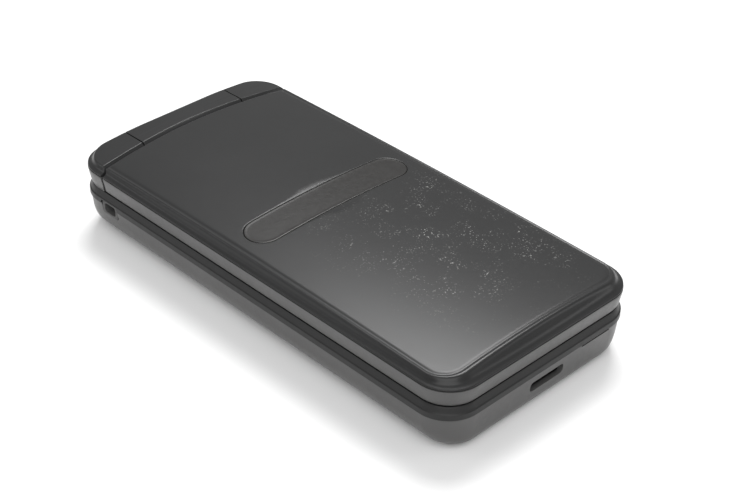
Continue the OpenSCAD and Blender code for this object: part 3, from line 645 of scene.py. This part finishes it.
def on_stadium(x, y, radius):
    """Point of the notice window's outline in the direction of a place on the lid."""
    dx, dy = x, y - NOTICE_Y
    length = math.hypot(dx, dy)
    dx, dy = dx / length, dy / length
    if abs(dy) > 1e-9 and abs(dx / dy) * radius <= NOTICE_FLAT:
        reach = radius / abs(dy)
    else:
        along = abs(dx) * NOTICE_FLAT
        reach = along + math.sqrt(max(along ** 2 - NOTICE_FLAT ** 2 + radius ** 2, 0))
    return dx * reach, NOTICE_Y + dy * reach


def on_top(plan, depth):
    """Plan points laid a depth under the lid's top."""
    return [(x, y, top_z(x, y) - depth) for x, y in plan]


def between(first, second, share):
    """Plan points a share of the way from one plan to another."""
    return [(x + (u - x) * share, y + (v - y) * share) for (x, y), (u, v) in zip(first, second)]


def lid_cover():
    """Crowned shell with a rounded edge, a valley inside it and the notice window's opening."""
    rings = []
    for inset, height in EDGE:
        share = crown_share(height)
        rings.append(lid_ring(inset, past_ledge(inset, EDGE_CHIN),
                              lambda x, y, h=height, s=share: RIM_Z + h + s * cover_lift(x, y)))
    for inset, dip in VALLEY:
        rings.append(lid_ring(EDGE_SIDE + inset, EDGE_CHIN + inset,
                              lambda x, y, d=dip: EDGE_Z + cover_lift(x, y) + d * valley_share(x, y),
                              inset * 0.5))
    border = [(x, y) for x, y, z in rings[-1]]
    inner_edge = [(x, y) for x, y, z in
                  lid_ring(EDGE_SIDE + WALL, EDGE_CHIN + WALL, lambda x, y: top_z(x, y) - WALL, WALL)]

    def rim(out):
        return [on_stadium(x, y, NOTICE_R + out) for x, y in border]

    rings += [on_top(between(border, rim(RIM_OUT), share), 0) for share in steps(0, 1, TOP_RINGS)[1:]]
    rings += [on_top(rim(out), depth) for out, depth in RIM_STEPS]
    rings += [on_top(between(rim(0), inner_edge, share), WALL) for share in steps(0, 1, UNDER_RINGS)[1:]]
    rings.append(lid_ring(2 * WALL, 2 * WALL, lambda x, y: RIM_Z, WALL))
    piece = loft("lid_cover_skin", rings, cyclic=True)
    soften(piece, angle=40)
    dress(piece, "lid", PAINT, ["lid_cover"])


def notice_window():
    """Inlay of the notice window, with a fine raised line round its border."""

    def ring(radius, height):
        turns = [math.radians(a) for a in steps(-90, 90, 28)]
        right = [(NOTICE_FLAT + radius * math.cos(a), radius * math.sin(a)) for a in turns]
        left = [(-x, -y) for x, y in right]
        (ax, ay), (bx, by) = right[-1], left[0]
        top = [(ax + (bx - ax) * t, ay + (by - ay) * t) for t in steps(0, 1, 24)[1:-1]]
        under = [(-x, -y) for x, y in top]
        return [(x, y + NOTICE_Y, top_z(x, y + NOTICE_Y) + height) for x, y in right + top + left + under]

    outer = NOTICE_R - NOTICE_GAP
    profile = [(outer - inset, height) for inset, height in NOTICE_SECTION]
    field_in, field_height = NOTICE_FIELD
    profile += [(r, field_height) for r in steps(outer - field_in, NOTICE_MIDDLE, 6)[1:]]
    piece = loft("notice_window_skin", [ring(radius, height) for radius, height in profile])
    soften(piece, angle=40)
    dress(piece, "lid", NOTICE, ["notice_window"])


# ---------------------------------------------------------------------------
# Hinge strip: the barrel's cover on the lid, and a cap over each knuckle
# ---------------------------------------------------------------------------

RIDGE_Y = AXIS_Y - 0.4
STRIP_NARROWING = 2.9
STRIP_SHARES = steps(0, 0.72, 26)[1:] + [0.8, 0.87, 0.93]
# Steps of a ring: side, round corner, rear end and front; the side's are closer at the front
STRIP_STEPS = (22, 32, 24, 48)
SIDE_POWER = 1.6
LEAST_SIDE = 0.02


def under_rod(z, y, blend):
    """Height that stays under the hinge strip's cylinder, rounded where the two meet."""
    roof = AXIS_Z + math.sqrt(max(STRIP_R ** 2 - (y - AXIS_Y) ** 2, 0))
    return (z + roof - math.sqrt((z - roof) ** 2 + blend ** 2)) / 2


def strip_front(x, height, share):
    """Y where one ring of the strip's section, with its share of the crown, meets the cylinder."""
    return cylinder_y(RIM_Z + height + share * crown(x, AXIS_Y - STRIP_AHEAD), STRIP_R)


def strip_ring(side_in, rear_in, front, height):
    """Ring of the hinge end: along the cylinder in front, with the body's round corners behind."""
    side_count, arc_count, rear_count, front_count = STRIP_STEPS
    half_w, end_y = HALF_W - side_in, HALF_L - rear_in
    radius = min(CORNER_R - (side_in + rear_in) / 2, end_y - front(half_w) - LEAST_SIDE)
    start, stop = front(half_w), end_y - radius
    plan = [(half_w, start + (stop - start) * t ** SIDE_POWER) for t in steps(0, 1, side_count)[:-1]]
    plan += [(half_w - radius + radius * math.cos(math.radians(a)),
              stop + radius * math.sin(math.radians(a))) for a in steps(0, 90, arc_count)]
    plan += [(x, end_y) for x in steps(half_w - radius, 0, rear_count)[1:]]
    plan += [(-x, y) for x, y in reversed(plan[:-1])]
    plan += [(x, front(x)) for x in steps(-half_w, half_w, front_count)[1:-1]]
    return [(x, y, height(x, y)) for x, y in plan]


def strip_form(name):
    """The lid's edge carried round the hinge end, under a cylinder about the hinge axis."""
    rings = []
    for inset, height in EDGE:
        share = crown_share(height)
        rings.append(strip_ring(inset, past_ledge(inset, EDGE_REAR),
                                lambda x, h=height, s=share: strip_front(x, h, s),
                                lambda x, y, h=height, s=share:
                                under_rod(RIM_Z + h + s * crown(x, y), y, STRIP_BLEND * s)))
    for share in STRIP_SHARES:
        rings.append(strip_ring(EDGE_SIDE + STRIP_NARROWING * share,
                                EDGE_REAR + (HALF_L - EDGE_REAR - RIDGE_Y) * share,
                                lambda x, u=share: strip_front(x, EDGE_RISE, 1) * (1 - u) + RIDGE_Y * u,
                                lambda x, y: under_rod(top_z(x, y), y, STRIP_BLEND)))
    return loft(name, rings)


def strip_piece(node, x0, x1, body):
    """One piece of the strip, cut out of its whole form between two X."""
    piece = strip_form(node + "_skin")
    carve(piece, block("ends", (x0, 0, 0), (x1, 2 * HALF_L, 2 * AXIS_Z)), "INTERSECT")
    clean(piece, MERGE_CUT)
    soften(piece, angle=50)
    dress(piece, body, CAP, [node])


# ---------------------------------------------------------------------------
# Battery cover: rounded tray with the port, nail notch, strap notch and slots
# ---------------------------------------------------------------------------

SIDE_FILLET = 5.5
END_FILLET = 3.0
INNER_END_FILLET = END_FILLET * 0.8
SPLIT_DRAFT = 0.15
FOOT_DRAFT = 0.9
DRAFT_POWER = 0.7
# The wall's straight part ends this far under the split; then inset and depth of the rounded rim
STRAIGHT_END = 0.12
COVER_RIM = [(0.19, 0.04), (0.3, 0.0)]
# Steps of a ring for each round corner, rear or chin end and long side
BODY_ARC_STEPS = 28
BODY_END_STEPS = 4
BODY_SIDE_STEPS = 6


def draft_in(z):
    """How far the cover's side has drawn in at a height."""
    return SPLIT_DRAFT + (FOOT_DRAFT - SPLIT_DRAFT) * max((SPLIT_Z - z) / SPLIT_Z, 0) ** DRAFT_POWER


def fillet_in(z, radius):
    """How far a fillet at the foot draws in at a height."""
    return 0 if z >= radius else radius - math.sqrt(radius ** 2 - (radius - z) ** 2)


def body_ring(side_in, end_in, z):
    """Closed level ring of the body's outline, drawn in at its sides and ends."""
    radius = max(MIN_CORNER_R, CORNER_R - (side_in + end_in) / 2)
    cx, cy = HALF_W - side_in - radius, HALF_L - end_in - radius
    points = []
    corners = [(cx, cy), (-cx, cy), (-cx, -cy), (cx, -cy)]
    for quarter, (x, y) in enumerate(corners):
        turns = [math.radians(90 * (quarter + i / BODY_ARC_STEPS)) for i in range(BODY_ARC_STEPS + 1)]
        points += [(x + radius * math.cos(a), y + radius * math.sin(a)) for a in turns]
        nx, ny = corners[(quarter + 1) % 4]
        sx, sy = radius * math.cos(turns[-1]), radius * math.sin(turns[-1])
        count = BODY_END_STEPS if quarter % 2 == 0 else BODY_SIDE_STEPS
        points += [(x + sx + (nx - x) * t, y + sy + (ny - y) * t) for t in steps(0, 1, count)[1:-1]]
    return [(x, y, z) for x, y in points]


def battery_cover():
    """Tray with deep fillets along its sides, a slight draft and a rounded rim."""
    outside, inside = [], []
    for degrees in steps(0, 90, 16):
        z = SIDE_FILLET * (1 - math.cos(math.radians(degrees)))
        draft = draft_in(z)
        outside.append(body_ring(draft + fillet_in(z, SIDE_FILLET), draft + fillet_in(z, END_FILLET), z))
    for z in steps(SIDE_FILLET, SPLIT_Z - STRAIGHT_END, 6)[1:]:
        outside.append(body_ring(draft_in(z), draft_in(z), z))
    outside += [body_ring(inset, inset, SPLIT_Z - depth) for inset, depth in COVER_RIM]
    room = SIDE_FILLET - WALL
    for degrees in steps(0, 90, 8):
        z = room * (1 - math.cos(math.radians(degrees)))
        inset = draft_in(z + WALL) + WALL
        inside.append(body_ring(inset + fillet_in(z, room), inset + fillet_in(z, INNER_END_FILLET),
                                z + WALL))
    inside.append(body_ring(SPLIT_DRAFT + WALL, SPLIT_DRAFT + WALL, SPLIT_Z))
    piece = loft("battery_cover_skin", outside + inside[::-1])
    cut_cover(piece)
    clean(piece, MERGE_CUT)
    soften(piece, angle=34)
    dress(piece, "base", BAND, ["battery_cover"])


def cut_cover(piece):
    """Cuts the port, the nail notch, the strap's tab and eye, the camera's hole and the slots."""
    port = rounded_box_outline(PORT_W, PORT_H, PORT_CORNER)
    carve(piece, loft("port", [[(x + PORT_X, y, z + PORT_Z) for x, z in port]
                               for y in (-HALF_L - OVERCUT, -HALF_L + PORT_DEPTH)]))
    carve(piece, block("nail", (NAIL_X, -HALF_L - OVERCUT, SPLIT_Z - NAIL_H),
                       (NAIL_X + NAIL_L, -HALF_L + NAIL_DEPTH, SPLIT_Z + OVERCUT)))
    tab = rounded_box_outline(TAB_L + TAB_GAP, TAB_H + TAB_GAP, TAB_CORNER)
    carve(piece, loft("tab", [[(x, y + EYE_Y, z + EYE_Z) for y, z in tab]
                              for x in (-HALF_W - OVERCUT, -HALF_W + TAB_DEPTH)]))
    carve(piece, prism("eye", circle(EYE_R), (-HALF_W + EYE_IN, EYE_Y), -OVERCUT, EYE_TOP))
    carve(piece, prism("camera", circle(CAMERA_R), (0, CAMERA_Y), -OVERCUT, FLOOR_TOP))
    slot = rounded_box_outline(SLOT_L, SLOT_W, SLOT_CORNER)
    for k in range(-2, 3):
        carve(piece, prism("slot", slot, (SLOT_X, CAMERA_Y + k * SLOT_PITCH), -OVERCUT, FLOOR_TOP))


# ---------------------------------------------------------------------------
# Node patterns: inked lines that follow a path, and grids of small holes or contacts
# ---------------------------------------------------------------------------

PLATE_CORNER_STEPS = 3


class Pattern:
    """A Geometry Nodes tree with named sizes, which ends in plain mesh of one material."""

    def __init__(self, name, **sizes):
        self.tree = bpy.data.node_groups.new(name, "GeometryNodeTree")
        self.add_socket("Base", "NodeSocketGeometry")
        self.add_socket("Material", "NodeSocketMaterial")
        for key, kind in sizes.items():
            self.add_socket(key, kind)
        self.tree.interface.new_socket("Result", in_out="OUTPUT", socket_type="NodeSocketGeometry")
        self.entry = self.tree.nodes.new("NodeGroupInput").outputs
        self.exit = self.tree.nodes.new("NodeGroupOutput").inputs

    def add_socket(self, name, kind):
        self.tree.interface.new_socket(name, in_out="INPUT", socket_type=kind)

    def node(self, kind, settings=None, **values):
        """Adds a node: its settings first, then its sockets by name with underscores for spaces."""
        added = self.tree.nodes.new(kind)
        for key, value in (settings or {}).items():
            setattr(added, key, value)
        for key, value in values.items():
            socket = added.inputs[key.replace("_", " ")]
            if isinstance(value, bpy.types.NodeSocket):
                self.tree.links.new(value, socket)
            else:
                socket.default_value = value
        return added.outputs[0]

    def finish(self, geometry):
        """Ends the tree in real mesh of the asked material."""
        real = self.node("GeometryNodeRealizeInstances", Geometry=geometry)
        inked = self.node("GeometryNodeSetMaterial", Geometry=real, Material=self.entry["Material"])
        self.tree.links.new(inked, self.exit["Result"])
        return self

    def grow(self, base, material, **sizes):
        """Runs the tree on a mesh, with sizes in millimetres, and keeps the result as plain mesh."""
        modifier = base.modifiers.new("pattern", "NODES")
        modifier.node_group = self.tree
        values = {"Material": material, **{key: size * MM for key, size in sizes.items()}}
        for item in self.tree.interface.items_tree:
            if item.in_out == "INPUT" and item.name in values:
                modifier[item.identifier] = values[item.name]
        settle(base)
        clean(base)


def ink_line():
    """A flat line of ink along every edge path of the base mesh."""
    line = Pattern("ink_line", Width="NodeSocketFloat", Height="NodeSocketFloat")
    path = line.node("GeometryNodeMeshToCurve", Mesh=line.entry["Base"])
    section = line.node("GeometryNodeCurvePrimitiveQuadrilateral",
                        Width=line.entry["Width"], Height=line.entry["Height"])
    return line.finish(line.node("GeometryNodeCurveToMesh", Curve=path, Profile_Curve=section,
                                 Fill_Caps=True))


def plate_grid():
    """Small rounded plates at every point of the base mesh."""
    grid = Pattern("plate_grid", Width="NodeSocketFloat", Length="NodeSocketFloat",
                   Corner="NodeSocketFloat", Height="NodeSocketFloat")
    outline = grid.node("GeometryNodeCurvePrimitiveQuadrilateral",
                        Width=grid.entry["Width"], Height=grid.entry["Length"])
    rounded = grid.node("GeometryNodeFilletCurve", {"mode": "POLY"}, Curve=outline,
                        Radius=grid.entry["Corner"], Count=PLATE_CORNER_STEPS, Limit_Radius=True)
    face = grid.node("GeometryNodeFillCurve", {"mode": "NGONS"}, Curve=rounded)
    raised = grid.node("GeometryNodeExtrudeMesh", Mesh=face, Offset_Scale=grid.entry["Height"],
                       Individual=False)
    foot = grid.node("GeometryNodeFlipFaces", Mesh=face)
    plate = grid.tree.nodes.new("GeometryNodeJoinGeometry")
    for part in (foot, raised):
        grid.tree.links.new(part, plate.inputs[0])
    return grid.finish(grid.node("GeometryNodeInstanceOnPoints", Points=grid.entry["Base"],
                                 Instance=plate.outputs[0]))


INK_LINE = ink_line()
PLATE_GRID = plate_grid()


def path_object(name, paths):
    """Loose edge paths as a mesh, from plan points in millimetres."""
    points, edges = [], []
    for path in paths:
        edges += [(len(points) + i, len(points) + i + 1) for i in range(len(path) - 1)]
        points += [(x, y, 0) for x, y in path]
    return raw_object(name, points, edges=edges)


def grid_object(name, place, columns, rows, pitch):
    """Loose points of a level grid about a place, as a mesh."""
    cx, cy, z = place
    return raw_object(name, [(cx + (c - (columns - 1) / 2) * pitch, cy + (r - (rows - 1) / 2) * pitch, z)
                             for r in range(rows) for c in range(columns)])


# ---------------------------------------------------------------------------
# Key legends: plain digits and simple signs, inked on the key tops
# ---------------------------------------------------------------------------

KEY_ARCH = 60.0
DIGIT_SIZE = 4.6
INK_HEIGHT = 0.02
STROKE = 0.28
TYPED = {"key_star": "*", "key_hash": "#", "key_clear": "C", **{f"key_{d}": str(d) for d in range(10)}}


def arc_path(radius, start, stop, squeeze=1.0, shift=0.0):
    """Arc in degrees about the origin, squeezed along X and shifted along Y."""
    turns = [math.radians(a) for a in steps(start, stop, 20)]
    return [(radius * squeeze * math.cos(a), radius * math.sin(a) + shift) for a in turns]


ENVELOPE = [[(-1.6, -1.1), (1.6, -1.1), (1.6, 1.1), (-1.6, 1.1), (-1.6, -1.1)],
            [(-1.6, 1.1), (0, -0.2), (1.6, 1.1)]]
GLOBE = [arc_path(1.4, 0, 360), arc_path(1.4, 0, 360, 0.45), [(-1.4, 0), (1.4, 0)]]
DASH = [[(-1.3, 0), (1.3, 0)]]
CHEVRON = ((-0.9, -0.35), (0, 0.45), (0.9, -0.35))
SIGNS = {
    "key_soft_left": (DASH, LEGEND),
    "key_soft_right": (DASH, LEGEND),
    "key_mail": (ENVELOPE, LEGEND),
    "key_web": (GLOBE, LEGEND),
    "key_call": ([arc_path(1.7, 205, 335, shift=1.1)], GREEN_INK),
    "key_end": ([arc_path(1.7, 25, 155, shift=-1.1)], RED_INK),
    "key_select": ([arc_path(1.3, 0, 360)], LEGEND),
}
ARROWS = {"nav_up": (0, 1), "nav_down": (0, -1), "nav_left": (-1, 0), "nav_right": (1, 0)}


def on_key(piece, node, place, slot):
    """Lays a flat legend on its key's arched top and makes it ride with the key."""
    top = box_mm(node)[1].z
    arched = slot == "key_plastic"
    for point in piece.data.vertices:
        x, y, z = point.co / MM
        drop = KEY_ARCH - math.sqrt(KEY_ARCH ** 2 - y ** 2) if arched else 0
        point.co = Vector((x + place[0], y + place[1], z + top - drop)) * MM
    dress(piece, "body_" + node, piece.data.materials[0])


def key_center(node):
    """Middle of a key, seen from above."""
    low, high = box_mm(node)
    return (low.x + high.x) / 2, (low.y + high.y) / 2


def typed_legend(node, text):
    """One character on a key."""
    curve = bpy.data.curves.new(node + "_legend", "FONT")
    curve.body = text
    curve.size = DIGIT_SIZE * MM
    curve.extrude = INK_HEIGHT * MM
    curve.resolution_u = 4
    curve.align_x = "CENTER"
    curve.align_y = "CENTER"
    letter = linked("letter", curve)
    mesh = evaluated_mesh(letter)
    bpy.data.objects.remove(letter)
    piece = linked(node + "_legend", mesh)
    clean(piece)
    paint(piece, LEGEND)
    on_key(piece, node, key_center(node), "key_plastic")


def drawn_legend(node, paths, ink, place, slot):
    """A sign on a key, drawn in lines of ink."""
    piece = path_object(node + "_legend", paths)
    INK_LINE.grow(piece, ink, Width=STROKE, Height=2 * INK_HEIGHT)
    on_key(piece, node, place, slot)


def key_legends():
    """Digits, signs and the arrows round the select key."""
    for node, text in TYPED.items():
        typed_legend(node, text)
    for node, (paths, ink) in SIGNS.items():
        slot = "nav_plastic" if node == "key_select" else "key_plastic"
        drawn_legend(node, paths, ink, key_center(node), slot)
    cx, cy = key_center("key_select")
    reach = (box_mm("nav_up")[1].y - cy + box_mm("key_select")[1].y - cy) / 2
    for node, (dx, dy) in ARROWS.items():
        arrow = [(a * dy + b * dx, b * dy + a * dx) for a, b in CHEVRON]
        drawn_legend(node, [arrow], LEGEND, (cx + reach * dx, cy + reach * dy), "nav_plastic")


# ---------------------------------------------------------------------------
# Contacts in the port and holes in the earpiece's mesh
# ---------------------------------------------------------------------------

CONTACT_Y, CONTACT_Z = 2.4, PORT_Z + 0.6
CONTACTS = {"columns": 5, "rows": 1, "pitch": 1.0}
CONTACT = {"Width": 0.45, "Length": 2.2, "Corner": 0.05, "Height": 0.02}
HOLES = {"columns": 14, "rows": 3, "pitch": 0.48}
HOLE = {"Width": 0.24, "Length": 0.24, "Corner": 0.11, "Height": -0.01}


def small_patterns():
    """Contacts on the port's tongue, and the holes of the earpiece's mesh."""
    low, high = box_mm("usb_socket")
    contacts = grid_object("port_contacts", ((low.x + high.x) / 2, low.y + CONTACT_Y, CONTACT_Z),
                           **CONTACTS)
    PLATE_GRID.grow(contacts, STEEL, **CONTACT)
    dress(contacts, "base", STEEL)
    low, high = box_mm("earpiece_mesh")
    holes = grid_object("earpiece_holes", ((low.x + high.x) / 2, (low.y + high.y) / 2, low.z), **HOLES)
    PLATE_GRID.grow(holes, RUBBER, **HOLE)
    dress(holes, "lid", RUBBER)


# ---------------------------------------------------------------------------
# The object
# ---------------------------------------------------------------------------

# CAD pieces with rounded edges: body, material, slot and the edges' width
REFINED = {
    "lid_frame": ("lid", BAND, "band_plastic", 0.12),
    "upper_case": ("base", CASE, "case_plastic", 0.12),
    "knuckle_left": ("base", BAND, "band_plastic", 0.1),
    "knuckle_right": ("base", BAND, "band_plastic", 0.1),
}
# CAD pieces that stay as they are; the keys follow in inner_pieces
NODE_FINISH = {
    # The chassis carries the near-black painted shade, all but its grey lug
    CHASSIS_SHADE: ["chassis"],
    INNER: ["earpiece", "camera_module", "loudspeaker", "battery_pack"],
    RUBBER: ["cover_seal", "lid_bumpers"],
    MAT: ["key_mat"],
    BOARD: ["main_board", "lid_board"],
    STEEL: ["dome_sheet", "card_tray", "hinge_unit", "hinge_shaft", "pivot_bush", "earpiece_mesh",
            "vibration_motor"],
    DARK_STEEL: ["usb_socket", "base_screws", "lid_screws"],
    FLEX: ["hinge_flex"],
    WINDOW: ["main_window", "camera_window", "main_display", "sub_display"],
}


def outer_mouldings():
    """Everything that the closed phone shows."""
    lid_cover()
    notice_window()
    strip_piece("barrel_cover", -BARREL_HALF, BARREL_HALF, "lid")
    strip_piece("hinge_cap_left", -HALF_W, -CAP_START, "base")
    strip_piece("hinge_cap_right", CAP_START, HALF_W, "base")
    battery_cover()
    for node, (body, material, slot, width) in REFINED.items():
        dress(refined(node, width), body, material, [node])


def inner_pieces():
    """Finishes of the CAD pieces that stay as they are."""
    for material, nodes in NODE_FINISH.items():
        for node in nodes:
            paint(frame["nodes"][node], material)
    for node, obj in frame["nodes"].items():
        if node.startswith("nav_") or node == "key_select":
            paint(obj, NAV)
        elif node.startswith("key_") and node != "key_mat":
            paint(obj, KEY)


# ---------------------------------------------------------------------------
# Floor, light and camera
# ---------------------------------------------------------------------------

# The camera was fitted to the photo's outlines and seams; degrees, and the lens in millimetres
CAMERA_AT = Vector((-192.296, -203.915, 201.116)) * MM
CAMERA_TURN = -44.637
CAMERA_DOWN = 34.681
CAMERA_ROLL = 0.8896
LENS = 82.56
SENSOR = 36
CLIP_START = 0.01

WORLD_STRENGTH = 0.5
# Square soft lights, turned to the origin: name, place and size in metres, power in watts
SOFT_LIGHTS = [
    ("behind", (0.43, 0.34, 0.93), 0.45, 8.5),
    ("front", (-0.6, -0.6, 0.9), 1.2, 10),
    ("right_side", (0.8, -0.72, 0.5), 0.4, 1),
    ("left_side", (-0.72, 0.8, 0.5), 0.4, 1),
]
FLOOR_HALF = 3000


def studio():
    """Even pale surroundings and the soft lights."""
    scene = bpy.context.scene
    scene.view_settings.view_transform = "Standard"
    world = bpy.data.worlds.new("studio")
    world.use_nodes = True
    background = world.node_tree.nodes["Background"]
    background.inputs["Color"].default_value = (1, 1, 1, 1)
    background.inputs["Strength"].default_value = WORLD_STRENGTH
    scene.world = world
    for name, place, size, power in SOFT_LIGHTS:
        data = bpy.data.lights.new(name, "AREA")
        data.shape = "RECTANGLE"
        data.size = size
        data.size_y = size
        data.energy = power
        lamp = linked(name, data)
        lamp.location = place
        lamp.rotation_euler = (-Vector(place)).to_track_quat("-Z", "Y").to_euler()


def floor():
    """Plain pale floor."""
    far = FLOOR_HALF
    piece = mesh_object("floor", [(-far, -far, 0), (far, -far, 0), (far, far, 0), (-far, far, 0)],
                        [(0, 1, 2, 3)])
    finish = Finish("pale_floor", Roughness=0.9, Specular_IOR_Level=0.2)
    shade = finish.ramp(finish.noise(3, detail=2), (0.3, grey(0.84)), (0.7, grey(0.86)))
    paint(piece, finish.feed(Base_Color=shade).material)


def camera():
    """The photo's camera."""
    turn, down, roll = (math.radians(a) for a in (CAMERA_TURN, CAMERA_DOWN, CAMERA_ROLL))
    forward = Vector((-math.sin(turn) * math.cos(down), math.cos(turn) * math.cos(down), -math.sin(down)))
    right = forward.cross(Vector((0, 0, 1))).normalized()
    up = right.cross(forward)
    right, up = (right * math.cos(roll) + up * math.sin(roll), up * math.cos(roll) - right * math.sin(roll))
    data = bpy.data.cameras.new("camera")
    data.sensor_width = SENSOR
    data.lens = LENS
    data.clip_start = CLIP_START
    view = linked("camera", data)
    view.matrix_world = Matrix((right, up, -forward)).transposed().to_4x4()
    view.location = CAMERA_AT
    bpy.context.scene.camera = view


outer_mouldings()
inner_pieces()
key_legends()
small_patterns()
floor()
studio()
camera()
